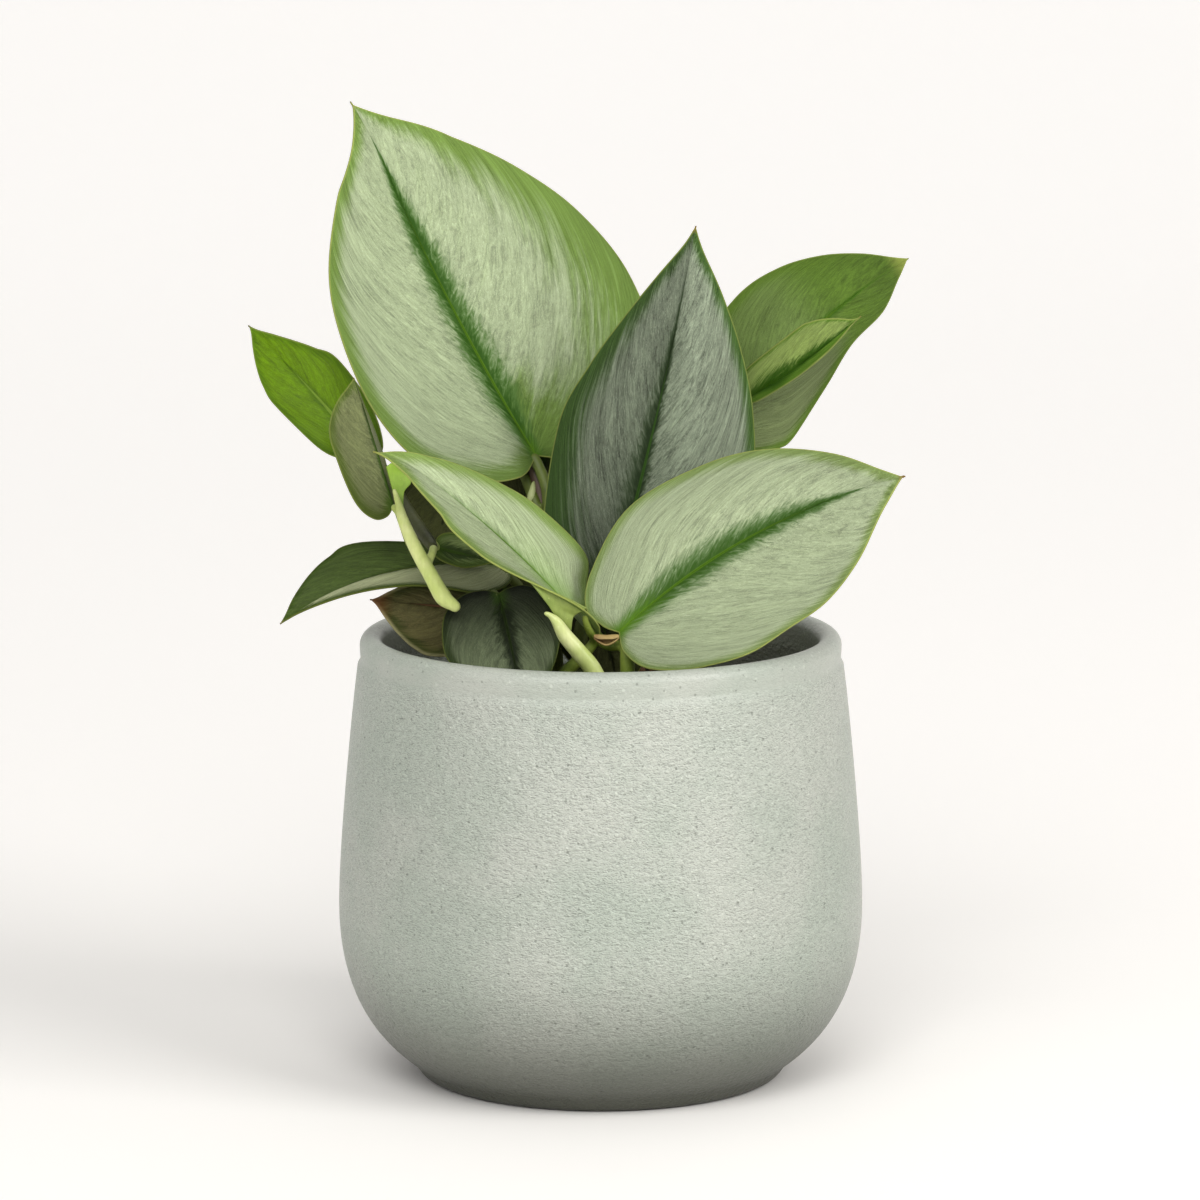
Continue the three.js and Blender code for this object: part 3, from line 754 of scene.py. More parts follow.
def blade_piece(name, leaf, rows, columns, ripple, seed, thick=0.45):
    """One leaf blade with a thickness and its measures on the points."""
    blade = flat_grid(name, rows, 2 * columns)
    grid = np.array([v.co for v in blade.data.vertices])
    v, t = 2 * grid[:, 0], grid[:, 1] + 0.5
    points, along = on_blade(leaf, v, t, ripple, seed)
    move_points(blade, points)
    length = np.linalg.norm(np.array(leaf["tip"]) - np.array(leaf["base"]))
    table = points.reshape(rows + 1, 2 * columns + 1, 3)
    steps = np.linalg.norm(np.diff(table, axis=1), axis=2)
    walk = np.concatenate([np.zeros((rows + 1, 1)), np.cumsum(steps, axis=1)], axis=1)
    rib = walk - walk[:, columns : columns + 1]
    margin = np.concatenate([table[:, 0], table[::-1, -1]])
    rim = np.full(len(points), 99.0)
    for a, b in zip(margin, margin[1:]):
        share = ((points - a) @ (b - a) / max((b - a) @ (b - a), 1e-9)).clip(0, 1)
        rim = np.minimum(rim, np.linalg.norm(points - a - share[:, None] * (b - a), axis=1))
    rim = rim.reshape(rib.shape)
    sweep_in = 0.6 * np.abs(v) + 0.12 * v**2
    vein = length * (along - sweep_in) / (1 - sweep_in)
    kept = blade.data.attributes.new("blade", "FLOAT_VECTOR", "POINT")
    table = np.stack([vein, rib.ravel(), rim.ravel()], 1)
    kept.data.foreach_set("vector", table.astype(np.float32).ravel())
    kept = blade.data.attributes.new("along", "FLOAT", "POINT")
    kept.data.foreach_set("value", along.astype(np.float32))
    blade.data.update()
    modify(blade, "SOLIDIFY", thickness=thick * MM, offset=0, material_offset=1)
    bpy.ops.object.mode_set(mode="EDIT")
    bpy.ops.mesh.select_all(action="SELECT")
    bpy.ops.mesh.remove_doubles(threshold=0.00002)
    bpy.ops.object.mode_set(mode="OBJECT")
    bpy.ops.object.shade_smooth()
    return blade


# %% [markdown]
# The bloom of a moonlight leaf is silver cells over green ones. Four things show: fine strokes
# along the veins, a dark green flame along the midrib whose edge is torn along the veins, a
# green zone that the silver doesn't reach near the margin, and a thin pale line on the margin
# itself. Each leaf gets its own shares of these. The underside is a flatter, paler green with
# the veins standing out.


# %% The upper side of a leaf
def on_leaf(wire):
    """The measures that the points of a leaf carry, as wires."""
    blade = wire.node("ShaderNodeAttribute", {"attribute_name": "blade"}, output="Vector")
    vein, rib, rim = blade.parts()
    along = wire.node("ShaderNodeAttribute", {"attribute_name": "along"}, output="Fac")
    return vein, rib, rim, along


def upper_finish(name, look, seed):
    """Silver, green and the flame along the midrib, from the measures on the points."""
    material, shader, wire = new_finish("upper" + name)
    vein, rib, rim, along = on_leaf(wire)
    right = rib.ramp(-0.3, 0.3)
    out = abs(rib)
    vein = vein + right * 91 + seed * 23.7

    def by_half(key):
        left_value, right_value = look[key]
        return left_value + right * (right_value - left_value)

    def cells(per_vein, per_rib, detail, rough, distort, shift=0):
        """Noise with so many cells to a mm across the veins and so many along them."""
        where = wire.xyz(vein * per_vein, rib * per_rib, seed + shift)
        return wire.noise(where, 1, detail, rough, distort)

    strokes = cells(1.3, 0.55, 3, 0.65, 2.2).ramp(0.3, 0.7)
    fine = cells(3.2, 2, 2, 0.6, 1.8).ramp(0.3, 0.7)
    curls = (1 - abs(cells(1.1, 0.7, 1, 0.5, 2, 4) - 0.5).ramp(0, 0.07)) * fine
    feather = cells(0.6, 0.2, 3, 0.6, 0.8)
    mottle = cells(0.4, 0.3, 3, 0.6, 1.4)
    streaks = cells(0.3, 0.045, 3, 0.6, 0.4)
    patches = cells(0.1, 0.08, 3, 0.6, 0.5)
    crossing = cells(0.45, 0.03, 1, 0.4, 0.6, 9)
    threads = (1 - abs(crossing - 0.5).ramp(0.004, 0.03)) * streaks.ramp(0.45, 0.6)

    zone = by_half("zone") + (by_half("zone_tip") - by_half("zone")) * along
    reach = rim + (0.15 * (streaks - 0.5) + 1.9 * (patches - 0.5)) * zone
    reach = reach + (feather - 0.5) * 2 + (mottle - 0.5) * 3
    silver = reach.ramp(zone * 0.4, 0.8 + zone * 1.5)
    thin = 1 - 0.3 * streaks.ramp(0.52, 0.75) * (1 - 0.7 * silver)
    silver_end = look["silver_end"]
    share = by_half("silvered") * silver * thin * (1 - along.ramp(silver_end, silver_end + 0.25))
    colour = wire.tint(share, look["green"], look["silver"])
    tone_and_shade = 0.8 + 0.06 * strokes + 0.2 * fine + 0.7 * (patches - 0.5) + 1.3 * (mottle - 0.5)
    tone_and_shade = tone_and_shade + 0.44 * curls - 0.16 * threads
    # Painted light and shade: `light` darkens or lightens each half, and `rise` the leaf towards
    # the tip.
    tone_and_shade = (0.98 + (tone_and_shade - 0.98) * look.get("contrast", 1)) * by_half("light")
    tone_and_shade = tone_and_shade * (1 + look["rise"] * (along - 0.5))
    colour = wire.darken(tone_and_shade, colour)
    colour = wire.tint(curls.ramp(0.2, 1) * share * 0.35, colour, look["bloom"])

    taper = (1 - along / look["flame_end"]).held() ** 0.27
    halo = out / (0.3 + look["halo"] * taper) + (streaks - 0.5) + 0.6 * (feather - 0.5)
    colour = wire.tint(0.3 * (1 - halo.ramp(0.2, 1)), colour, look["dark"])
    width = 0.05 + by_half("flame") * taper * (0.5 + 0.5 * along.ramp(-0.03, 0.2))
    edge = out / width + 0.45 * (feather - 0.5) + 0.1 * (strokes - 0.5) + 1.6 * (mottle - 0.5)
    band = 1 - edge.ramp(0.4, 1.3)
    colour = wire.tint(band * look["flame_share"], colour, look["shade"])
    core = 1 - edge.ramp(0.1, 0.75)
    colour = wire.tint(core * look["flame_share"], colour, look["dark"])
    rib_width = 0.2 + 0.45 * (1 - along)
    line = (rib_width - out).ramp(-0.2, 0.2) * (1 - along.ramp(0.4, 0.85))
    colour = wire.tint(line * 0.8, colour, look["midrib"])
    reach, spread = look["glow_size"]
    glow = (1 - (along + 0.3 * (mottle - 0.5)).ramp(-0.02, reach)) * (1 - out.ramp(1, spread))
    colour = wire.tint(glow * 0.65, colour, look["glow"])
    margin = 1 - rim.ramp(0.1, look["rim_width"])
    colour = wire.tint(margin * 0.75, colour, look["margin"])
    tip = (along + 0.02 * (feather - 0.5)).ramp(look["tip_start"], 1.0)
    colour = wire.tint(tip * 0.85, colour, look["tip"])

    veins = wire.noise(wire.xyz(vein * 0.42, rib * 0.02, 0.5), 1, 1, 0.4).ramp(0.35, 0.65)
    height = 1.2 * veins + 0.3 * strokes + 0.2 * fine + 0.8 * feather + 0.3 * curls - 0.4 * threads
    feed(
        shader,
        Base_Color=colour,
        Roughness=look.get("rough", 0.42) + 0.14 * strokes,
        Specular_IOR_Level=look.get("shine", 0.16),
        Normal=wire.bump(height, 0.00022, 0.7),
    )
    return material


# %% The underside of a leaf
def under_finish(name, look, seed):
    """The matt underside: pale green with raised veins and a pale keel."""
    material, shader, wire = new_finish("under" + name)
    vein, rib, rim, _ = on_leaf(wire)
    out = abs(rib)
    veins = wire.noise(wire.xyz(vein * 0.6, rib * 0.03, seed), 1, 2, 0.5)
    mottle = wire.noise(wire.xyz(vein * 1.5, rib * 0.6, seed), 1, 3, 0.6, 1.2).ramp(0.3, 0.7)
    colour = wire.tint(veins.ramp(0.35, 0.7), look["under"], look["under_vein"])
    colour = wire.darken(0.9 + 0.16 * mottle, colour)
    keel = (0.8 - out).ramp(-0.4, 0.4)
    colour = wire.tint(keel * 0.4, colour, look["margin"])
    margin = 1 - rim.ramp(0.2, 0.7)
    colour = wire.tint(margin * 0.6, colour, look["margin"])
    feed(
        shader,
        Base_Color=colour,
        Roughness=0.55,
        Specular_IOR_Level=0.3,
        Normal=wire.bump(0.7 * veins + 0.2 * mottle + keel, 0.0006, 0.5),
    )
    return material


# %% [markdown]
# The colours are read off the photograph, as a paint program shows them. Where two
# numbers stand together, they are for the left and the right half. `zone` is how far from the
# margin, in mm, the silver stops near the stalk and `zone_tip` near the tip, and `silvered` how
# much of the rest it covers. `light` and `rise` are painted light and shade: one half made darker
# or paler than the other, and the leaf paler or darker towards the tip.
# `flame` is half the width of the dark band, `halo` that of the wash around it, and `flame_end`
# how far towards the tip it reaches. A leaf names only what differs from the first two looks.

# %% The look of each leaf
SILVER = dict(
    silver=(161, 174, 138), green=(116, 140, 72), dark=(38, 76, 0), shade=(76, 110, 48),
    midrib=(84, 122, 20), margin=(166, 176, 92), tip=(166, 164, 84), under=(138, 156, 84),
    under_vein=(152, 168, 100), zone=(3, 13), zone_tip=(3, 3), silvered=(0.97, 0.97), silver_end=2,
    light=(1, 1), rise=0.15, flame=(5, 5), flame_end=0.88, flame_share=0.95, halo=8,
    tip_start=0.975, bloom=(200, 207, 182), rim_width=0.42, glow=(96, 138, 30), glow_size=(0.22, 6),
)
DULL = dict(
    silver=(110, 118, 84), green=(66, 88, 36), dark=(26, 46, 8), shade=(40, 60, 22),
    midrib=(64, 92, 24), margin=(130, 142, 64), tip=(128, 118, 60), under=(104, 118, 66),
    under_vein=(114, 128, 76), zone=(1, 2), zone_tip=(1, 1), silvered=(0.8, 0.8), silver_end=2,
    light=(1, 1), rise=0, flame=(2.6, 2.6), flame_end=0.8, flame_share=0.9, halo=3, tip_start=0.975,
    bloom=(128, 136, 108), rim_width=0.42, glow=(70, 100, 26), glow_size=(0.17, 5),
)
LOOKS = {
    "leaf_tall_silver": ("silver_leaf", dict(
        SILVER, green=(114, 142, 66), zone=(5, 28), zone_tip=(3, 0), flame=(7.6, 6.6),
        flame_end=0.92, halo=11, glow_size=(0.1, 4),
    )),
    "leaf_front_silver": ("silver_leaf", dict(
        SILVER, silver=(160, 172, 138), green=(126, 147, 84), dark=(46, 80, 12),
        shade=(84, 112, 62), zone=(1.6, 1.2), zone_tip=(2.4, 1.6), flame=(7, 6), tip=(140, 96, 58),
        rise=0,
    )),
    "leaf_slanted_silver": ("silver_leaf", dict(
        SILVER, silver=(172, 186, 146), green=(132, 158, 80), dark=(78, 108, 48),
        shade=(104, 130, 74), zone=(3, 3), light=(0.84, 1.03), rise=0, flame=(2, 1.4),
        flame_end=0.85, flame_share=0.4, halo=4, glow=(132, 170, 76), glow_size=(0.5, 16),
    )),
    "leaf_centre_grey": ("grey_leaf", dict(
        DULL, silver=(122, 132, 112), green=(64, 92, 40), dark=(22, 38, 10), shade=(52, 66, 42),
        midrib=(50, 84, 22), margin=(136, 148, 72), zone=(11, 3), zone_tip=(0.6, 2),
        silvered=(0.95, 1.0), bloom=(172, 176, 160), light=(0.66, 1.1), rise=0.3, flame=(5.5, 2.6),
        flame_end=1.0, halo=16, tip=(150, 120, 50), contrast=1.7, flame_share=0.95,
    )),
    "leaf_folded_grey": ("grey_leaf", dict(
        DULL, silver=(112, 117, 79), green=(84, 100, 40), under=(104, 108, 74),
        under_vein=(114, 119, 84), flame=(0.9, 0.9), dark=(52, 60, 26),
    )),
    "leaf_bright_young": ("green_leaf", dict(
        DULL, silver=(112, 150, 0), green=(92, 130, 0), dark=(58, 94, 0), shade=(66, 100, 4),
        midrib=(152, 184, 70), margin=(146, 164, 66), under=(108, 138, 30),
        under_vein=(124, 150, 50), flame=(2, 2), rough=0.3, shine=0.3, rise=0.5,
        bloom=(150, 176, 80), flame_share=0.2,
    )),
    "leaf_back_green": ("green_leaf", dict(
        DULL, silver=(106, 118, 78), green=(86, 114, 38), dark=(54, 92, 8), shade=(68, 104, 20),
        midrib=(104, 140, 34), margin=(134, 150, 70), zone=(3, 1.5), silvered=(0.4, 0.95),
        silver_end=0.42, flame=(1.6, 1.6), flame_end=0.95, tip=(156, 168, 80), tip_start=0.9,
        rise=-0.5, light=(1.08, 1.08),
    )),
    "leaf_rolled_green": ("green_leaf", dict(
        DULL, silver=(134, 154, 82), green=(84, 120, 32), dark=(40, 76, 0), shade=(48, 84, 6),
        midrib=(52, 88, 4), margin=(150, 160, 84), zone=(0.4, 1), zone_tip=(0.4, 1),
        silvered=(0.95, 0.05), flame=(5, 3), flame_end=1.4, halo=2,
    )),
    "leaf_arching_dark": ("dark_leaf", dict(
        DULL, silver=(176, 182, 142), green=(62, 84, 22), dark=(40, 58, 12), midrib=(84, 100, 40),
        zone=(0.6, 0.8), silvered=(0.95, 0.06), flame=(1, 1), margin=(112, 122, 52),
    )),
    "leaf_shade_dark": ("dark_leaf", dict(
        DULL, silver=(80, 84, 46), green=(60, 66, 28), dark=(38, 42, 16), shade=(46, 50, 20),
        margin=(140, 144, 76), bloom=(100, 106, 66),
    )),
    "leaf_small_dark": ("dark_leaf", dict(
        DULL, silver=(118, 134, 82), green=(80, 102, 42), dark=(50, 66, 24),
    )),
    "leaf_heart_dark": ("dark_leaf", dict(
        DULL, silver=(96, 106, 79), green=(50, 64, 30), dark=(18, 26, 8), shade=(28, 38, 14),
        midrib=(36, 50, 16), margin=(100, 112, 46), rise=1.6, bloom=(126, 134, 112),
        silvered=(0.85, 0.85), flame=(3.6, 3.6), flame_end=1.0,
    )),
    "leaf_old_brown": ("old_leaf", dict(
        DULL, silver=(104, 98, 62), green=(70, 76, 34), dark=(44, 44, 18), shade=(54, 50, 22),
        midrib=(132, 92, 66), margin=(176, 170, 124), rim_width=1.3, bloom=(150, 116, 84),
        zone=(2, 5), zone_tip=(2, 2), tip=(136, 80, 48), tip_start=0.78, under=(80, 72, 42),
        under_vein=(96, 82, 50), flame=(1, 1),
    )),
}
print("looks:", len(LOOKS))

# %% Grow and finish the leaves
def grow_leaf(name, leaf, look, number, seed):
    """One leaf with its two finishes. A blade that is wider than 20 mm a side gets a finer grid."""
    look = {k: srgb(*v) if isinstance(v, tuple) and len(v) == 3 else v for k, v in look.items()}
    large = max(of_side(leaf, "wide", side) for side in (0, 1)) > 20
    rows, columns, ripple = (170, 44, 0.45) if large else (84, 22, 0.25)
    blade = blade_piece(name, leaf, rows, columns, ripple, seed)
    short = name.removeprefix("blade_")
    sides = [make("_" + short, look, number) for make in (upper_finish, under_finish)]
    dress(blade, *sides)
    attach(blade, "root")
    return blade


for number, (name, leaf) in enumerate(LEAVES.items()):
    slot, look = LOOKS[name]
    blade = grow_leaf("blade_" + name[5:], leaf, look, number + 1, SEED + number)
    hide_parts(name)

# %% [markdown]
# ## Vines and stalks
# Each stem is a run of points with a thickness. A curve with a round bevel gives a smooth tube
# along them. Where runs branch, the tubes only pass through each other, so they are joined, and
# a voxel remesh turns them into one skin that a little smoothing blends at the forks.

# %% The runs of the stems
# Each piece: the plain node it stands for, its skin, and its runs. Each run is a list of
# (x, y, z, radius) in mm, from the leaf down into the mix.
STEMS = {
    "vine": ("stem_left", "vine_skin", [
        [(-59, -28.5, 176.5, 0.5), (-57.3, -32, 172, 1.1), (-56, -35, 168, 1.6),
         (-52.5, -37, 160.5, 1.9), (-48, -38, 152.5, 2.1), (-44.8, -39, 147, 2.35),
         (-42, -39.5, 144.8, 1.7), (-40, -39.5, 143.4, 1.3)],
        [(-49.5, -37, 155.5, 1.3), (-48, -33, 158.5, 1.1), (-47.7, -27, 159.6, 1.1),
         (-47.5, -22, 159.2, 1.1), (-47, -17, 157.5, 1)],
        [(-56, -35, 168.5, 1.3), (-57.5, -31, 170, 1.1), (-59.2, -26, 171, 1)],
    ]),
    "young_stalk": ("stem_left", "shaded_stalk_skin", [
        [(-71, 24, 181.5, 1.3), (-63, 10, 175.5, 2), (-57, -4, 167.5, 2.3), (-52.5, -16, 163, 2.3),
         (-49, -25, 160.5, 1.8), (-47.7, -30, 159.6, 1.2)],
        [(-58, -1, 169, 1.8), (-57, 1.5, 163.5, 1.6), (-55, 2, 158, 1.6), (-52, 2.5, 151.5, 1.6),
         (-47, 3, 141, 1.7), (-41, 3.5, 118, 1.9), (-39, 3, 97, 1.9)],
    ]),
    "centre_stem": ("stem_centre", "fresh_skin", [
        [(-20, 12, 180.5, 1.6), (-17.5, 9.5, 176, 1.6), (-15.5, 6.5, 170.5, 1.7),
         (-15, 4, 163, 1.8), (-14, 3, 150, 2), (-13, 4, 125, 2), (-13, 5, 97, 2)],
        [(-38, 17, 184.5, 1.1), (-36.5, 15.5, 187, 1.2), (-32, 13.5, 186.5, 1.2),
         (-27, 12.3, 181.5, 1.3), (-22.5, 12, 174.5, 1.4), (-19.5, 8.5, 168, 1.6),
         (-16.5, 4.5, 161, 1.6)],
    ]),
    "old_sheath": ("stem_centre", "plum_skin", [
        [(-20, 13, 177.5, 1.4), (-18, 12, 171, 3), (-16.5, 10, 163, 3.8), (-15, 8, 154, 3.2),
         (-14, 5, 146, 2)],
    ]),
    "right_stem": ("stem_right", "pale_stalk", [
        [(40, 20, 190.3, 1.3), (37.5, 19.5, 180, 1.5), (33, 18, 160, 1.8), (29, 16, 130, 2),
         (28, 15, 97, 2)],
        [(42, 16, 195.9, 1), (40.5, 15.5, 185, 1.1), (36, 16.5, 172, 1.2), (33, 18, 160, 1.3)],
    ]),
    "centre_stalk": ("stalk_centre_grey", "olive_skin", [
        [(3.3, -9, 144, 1.6), (-1.5, -9.5, 139.5, 1.8), (-5.5, -11, 133, 2.1),
         (-6.5, -13, 118, 2.3), (-6, -14, 97, 2.4)],
    ]),
    "front_stalks": ("stalks_front", "pale_stalk", [
        [(7.5, -41, 136, 1.6), (7.5, -42, 130, 2), (8, -41, 118, 2.1), (9, -39, 97, 2.2)],
        [(-4, -46, 144, 0.7), (-4.3, -45, 141.3, 0.9), (-3.2, -42, 137.6, 1.1),
         (-1.8, -37, 134, 1.4), (-5, -36, 129.5, 1.6), (-10.5, -34, 123.5, 1.9),
         (-16, -31.5, 113, 2), (-18, -30, 97, 2)],
        [(-2, -34.5, 136, 1.5), (2, -38, 133, 1.6), (7.5, -41.5, 133.5, 1.4)],
    ]),
    "arching_stalk": ("stalk_arching", "olive_skin", [
        [(-29, -9, 151, 1.2), (-26.5, -9.5, 148, 1.3), (-23, -7.5, 143.5, 1.4),
         (-20.5, -2, 133, 1.5), (-20, 0, 97, 1.6)],
    ]),
    "heart_stalk": ("stalk_heart", "olive_skin", [
        [(-29, -31, 144.7, 1.2), (-30.5, -27.5, 146, 1.2), (-29.5, -23.5, 143, 1.2),
         (-27.5, -20, 134, 1.3), (-26.5, -16, 97, 1.5)],
    ]),
    "old_stalk": ("stalk_old", "olive_skin", [
        [(-31.5, -14, 138.7, 1.1), (-31.5, -11.5, 131, 1.2), (-32, -8, 97, 1.4)],
    ]),
    "shoot": ("new_shoot", "shoot_skin", [
        [(-16, -53, 144.8, 0.5), (-14.2, -53, 144, 0.8), (-12.3, -53, 142, 1.5),
         (-10, -52, 138, 2.1), (-6, -51, 133, 2.3), (-2, -50, 127.5, 2.4), (1.5, -49, 118, 2.4),
         (3, -48, 97, 2.4)],
    ]),
}
print("stems:", len(STEMS), "runs:", sum(len(runs) for _, _, runs in STEMS.values()))


# %% Grow the stems
# Smoothing draws a skin in a little, so each tube starts thicker by this factor. The voxels of a
# skin are this many mm, and finer for the rolled shoot.
SWELL = 1.06
VOXEL, SHOOT_VOXEL = 0.4, 0.28


def tube(run, step=0.6):
    """A round tube through the run's points, with rounded ends, as a mesh."""
    points = np.array(run, float)
    length = np.linalg.norm(np.diff(points[:, :3], axis=0), axis=1).sum()
    t = np.linspace(0, 1, max(8, int(length / step)))
    smooth = through(points[:, :3], t)
    radius = SWELL * np.interp(t * (len(points) - 1), np.arange(len(points)), points[:, 3])
    walked = np.concatenate([[0], np.cumsum(np.linalg.norm(np.diff(smooth, axis=0), axis=1))])
    for end in (walked, walked[-1] - walked):
        inward = np.clip(end / (0.9 * radius), 0, 1)
        radius = radius * np.sqrt(np.clip(1 - (1 - inward) ** 2, 0.02, 1))
    bpy.ops.curve.primitive_nurbs_path_add(location=(0, 0, 0))
    path = bpy.context.object
    line = path.data.splines[0]
    line.points.add(len(t) - len(line.points))
    line.type = "POLY"
    flat = np.concatenate([smooth * MM, np.ones((len(t), 1))], axis=1)
    line.points.foreach_set("co", flat.ravel())
    line.points.foreach_set("radius", radius)
    path.data.bevel_depth = MM
    path.data.bevel_resolution = 6
    path.data.use_fill_caps = True
    bpy.ops.object.convert(target="MESH")
    return bpy.context.object


def stem_piece(name, runs, voxel):
    """The runs of one stem as one smooth skin."""
    tubes = []
    for run in runs:
        deselect()
        tubes.append(tube(run))
    for piece in tubes:
        piece.select_set(True)
    bpy.context.view_layer.objects.active = tubes[0]
    if len(tubes) > 1:
        bpy.ops.object.join()
    stem = named(name)
    settle()
    modify(stem, "REMESH", mode="VOXEL", voxel_size=voxel * MM, use_smooth_shade=True)
    modify(stem, "SMOOTH", factor=0.5, iterations=5)
    bpy.ops.object.shade_smooth()
    return stem


# %% Skins of the stems
def stem_finish(name, pale, deep, freckle, rough=0.45, coat=0.0):
    """A skin with streaks along the stem and small pale freckles."""
    material, shader, wire = new_finish(name)
    pale, deep, freckle = (srgb(*colour) for colour in (pale, deep, freckle))
    spot = wire.place()
    x, y, height = spot.parts()
    streak = wire.noise(wire.xyz(x * 900, y * 900, height * 90), 1, 3, 0.6, 0.4)
    cloud = wire.noise(spot, 90, 3, 0.6)
    speck = wire.noise(spot, 1400, 2, 0.6)
    colour = wire.tint(cloud.ramp(0.35, 0.65), pale, deep)
    colour = wire.darken(0.82 + 0.36 * streak, colour)
    colour = wire.tint(0.5 * speck.ramp(0.62, 0.8), colour, freckle)
    feed(
        shader,
        Base_Color=colour,
        Roughness=rough + 0.15 * speck,
        Specular_IOR_Level=0.45,
        Normal=wire.bump(0.6 * streak + 0.3 * speck, 0.0003, 0.6),
    )
    if coat:
        feed(shader, Coat_Weight=coat, Coat_Roughness=0.2)
    return material


# Each skin: its pale, its deep and its freckle colour, and for some a roughness and a coat.
SKINS = {
    "vine_skin": ((205, 211, 143), (183, 197, 111), (230, 234, 184)),
    "olive_skin": ((104, 116, 50), (80, 92, 38), (140, 146, 84)),
    # Painted shade: the young stalk is coloured as dark as the shade it passes through.
    "shaded_stalk_skin": ((70, 74, 38), (54, 58, 30), (96, 98, 58)),
    "fresh_skin": ((94, 108, 40), (72, 86, 28), (134, 140, 70)),
    "plum_skin": ((84, 62, 44), (58, 46, 30), (116, 96, 66)),
    "pale_stalk": ((138, 154, 66), (104, 124, 40), (176, 186, 110)),
    "shoot_skin": ((203, 209, 148), (176, 190, 110), (226, 228, 178), 0.3, 0.3),
    "dry_skin": ((158, 136, 84), (112, 78, 46), (184, 164, 112), 0.6),
    "cream_skin": ((186, 196, 138), (160, 172, 104), (206, 210, 160)),
    "wing_skin": ((138, 154, 78), (112, 132, 54), (184, 194, 120)),
    "sheath_skin": ((128, 160, 44), (104, 136, 24), (164, 160, 92)),
}
skins = {name: stem_finish(name, *look) for name, look in SKINS.items()}
print("skins:", len(skins))

# %% Grow and finish the stems
for name, (node, skin, runs) in STEMS.items():
    stem = stem_piece(name, runs, SHOOT_VOXEL if name == "shoot" else VOXEL)
    dress(stem, skins[skin])
    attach(stem, "root")
    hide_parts(node)

# %% [markdown]
# ## Small parts between the stems
# In the shade at the foot of the plant the photograph shows no light coming through: small old
# leaves fill it. Three dark ones are added there, with the same tools as the others; they stand
# partly for those leaves and partly for the shade itself, as painted shade. The stalk of the
# slanted leaf has a thin wing, a small green sheath stands at the foot of the folded leaf, and a
# dried tan sheath is left where an older leaf stood. Each of these is a sheet drawn through a few
# lines of points. The old sheath's tip is one more short tube.

# %% Old leaves in the shade
SHADE_LEAF = dict(wide=13, lobe=0.05, belly=0.4, full=1.8, fold=8, curl=-10)
SHADE_LEAVES = {
    "shade_upper": dict(
        SHADE_LEAF, base=(-16, 20, 180), tip=(-25, 21, 140), face=(0.1, -0.95, 0.2), arch=-2
    ),
    "shade_left": dict(
        SHADE_LEAF, base=(-25, 5, 153), tip=(-36, 8, 114), face=(0.1, -0.95, 0.25), arch=2
    ),
    "shade_low": dict(
        SHADE_LEAF, base=(-4, 2, 148), tip=(6, -8, 111), face=(0.1, -0.9, 0.3), wide=(16, 15),
        lobe=0.06, arch=3,
    ),
}
for number, (name, leaf) in enumerate(SHADE_LEAVES.items()):
    _, look = LOOKS["leaf_shade_dark"]
    blade = grow_leaf(name, leaf, look, 21 + number, SEED + 40 + number)


# %% Sheets drawn through lines of points
def sheet_piece(name, lines, rows, columns, thick):
    """A thin smooth sheet through lines of points, each line with as many points, in mm."""
    sheet = flat_grid(name, rows, columns)
    u = np.linspace(0, 1, columns + 1)
    v = np.linspace(0, 1, rows + 1)
    drawn = np.array([through(line, u) for line in np.array(lines, float)])
    table = np.stack([through(drawn[:, k], v) for k in range(columns + 1)], axis=1)
    move_points(sheet, table.reshape(-1, 3))
    modify(sheet, "SOLIDIFY", thickness=thick * MM, offset=0)
    bpy.ops.object.shade_smooth()
    return sheet


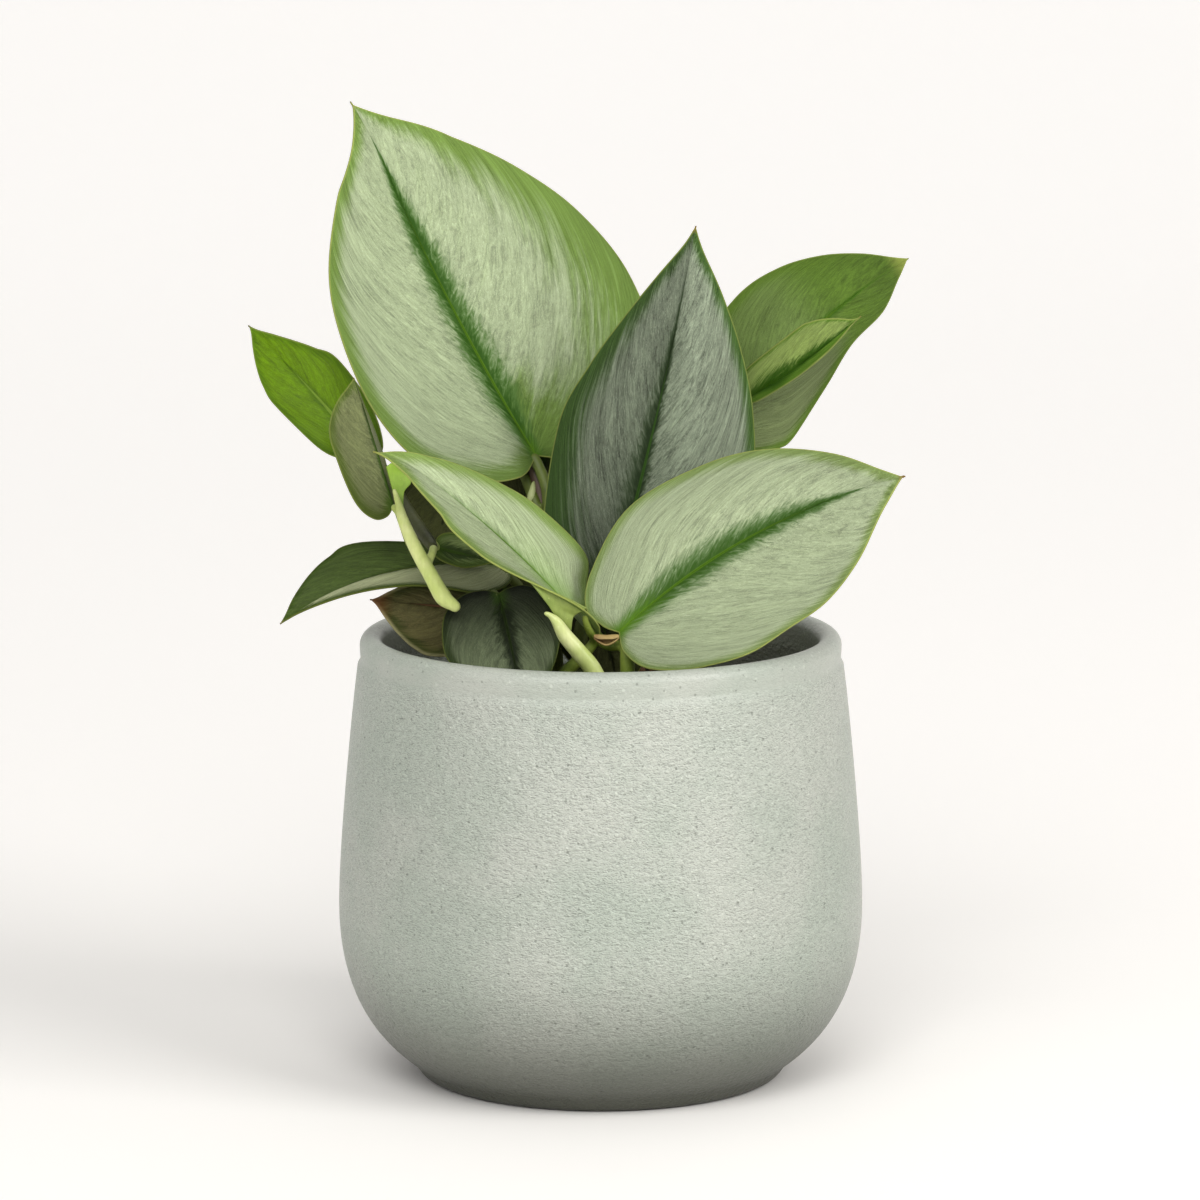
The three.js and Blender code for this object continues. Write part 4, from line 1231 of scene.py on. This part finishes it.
wing = sheet_piece(
    "stalk_wing",
    [
        [(-20.1, -56.3, 154.6), (-14.8, -53.8, 151.7), (-9.2, -51, 148.7), (-3.8, -47.5, 145.2)],
        [(-17.9, -56, 151.7), (-14.2, -53.5, 149.3), (-10.3, -51, 146.6), (-6.1, -48, 144.1)],
        [(-15.6, -54.5, 148.3), (-13.1, -52.5, 146.3), (-10.6, -50.5, 144.8), (-7.5, -48, 143.2)],
        [(-13.4, -52, 144.6), (-11.7, -51, 143.3), (-10.1, -50, 142.5), (-8.1, -48.5, 142)],
        [(-11.2, -48.5, 139.1), (-10.3, -48.5, 138.8), (-9.2, -48.3, 138.8), (-8.4, -48, 139)],
    ],
    30, 24, 0.5,
)
young_sheath = sheet_piece(
    "young_sheath",
    [
        [(-61.2, -26, 182.4), (-59.8, -25.5, 183.4), (-58.2, -25, 183.9)],
        [(-60.3, -26.5, 179.3), (-58.1, -25.5, 180.2), (-56, -25, 180.8)],
        [(-59.5, -27.5, 176.5), (-56.6, -26.5, 177.2), (-54.1, -26, 178)],
        [(-58.6, -28.5, 173.8), (-57.5, -28, 174.6), (-56, -27.5, 175.4)],
        [(-57.6, -30, 170.3), (-56.9, -30, 170.6), (-56.2, -30, 170.9)],
    ],
    24, 16, 0.5,
)
# The dry sheath is a pod that stays open to the front: rings of points, each with a gap. The
# three numbers are how far along it the ring is, its radius in mm and half the gap in radians.
POD = ((0, 0.4, 0.1), (0.2, 1.1, 0.35), (0.5, 1.4, 0.66), (0.8, 1.1, 0.4), (1, 0.4, 0.1))
rings = []
for share, wide, gap in POD:
    x, z = -1.9 + 7 * share, 136.4 - 1.1 * math.sin(math.pi * share)
    turn = np.linspace(gap, 2 * math.pi - gap, 12) + 0.25
    rings.append([(x, -44 - wide * math.cos(a), z - wide * math.sin(a)) for a in turn])
sheath = sheet_piece("dry_sheath", rings, 30, 40, 0.4)
tip_run = [(-20.2, 8, 166.5, 0.9), (-20.2, 8, 168.5, 1.2), (-19.8, 9, 170.8, 0.9)]
tip = tube(tip_run + [(-19.4, 10, 173, 0.3)])
tip.name = "sheath_tip"
for piece, skin in (
    (wing, "wing_skin"), (young_sheath, "sheath_skin"), (sheath, "dry_skin"), (tip, "cream_skin")
):
    dress(piece, skins[skin])
    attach(piece, "root")
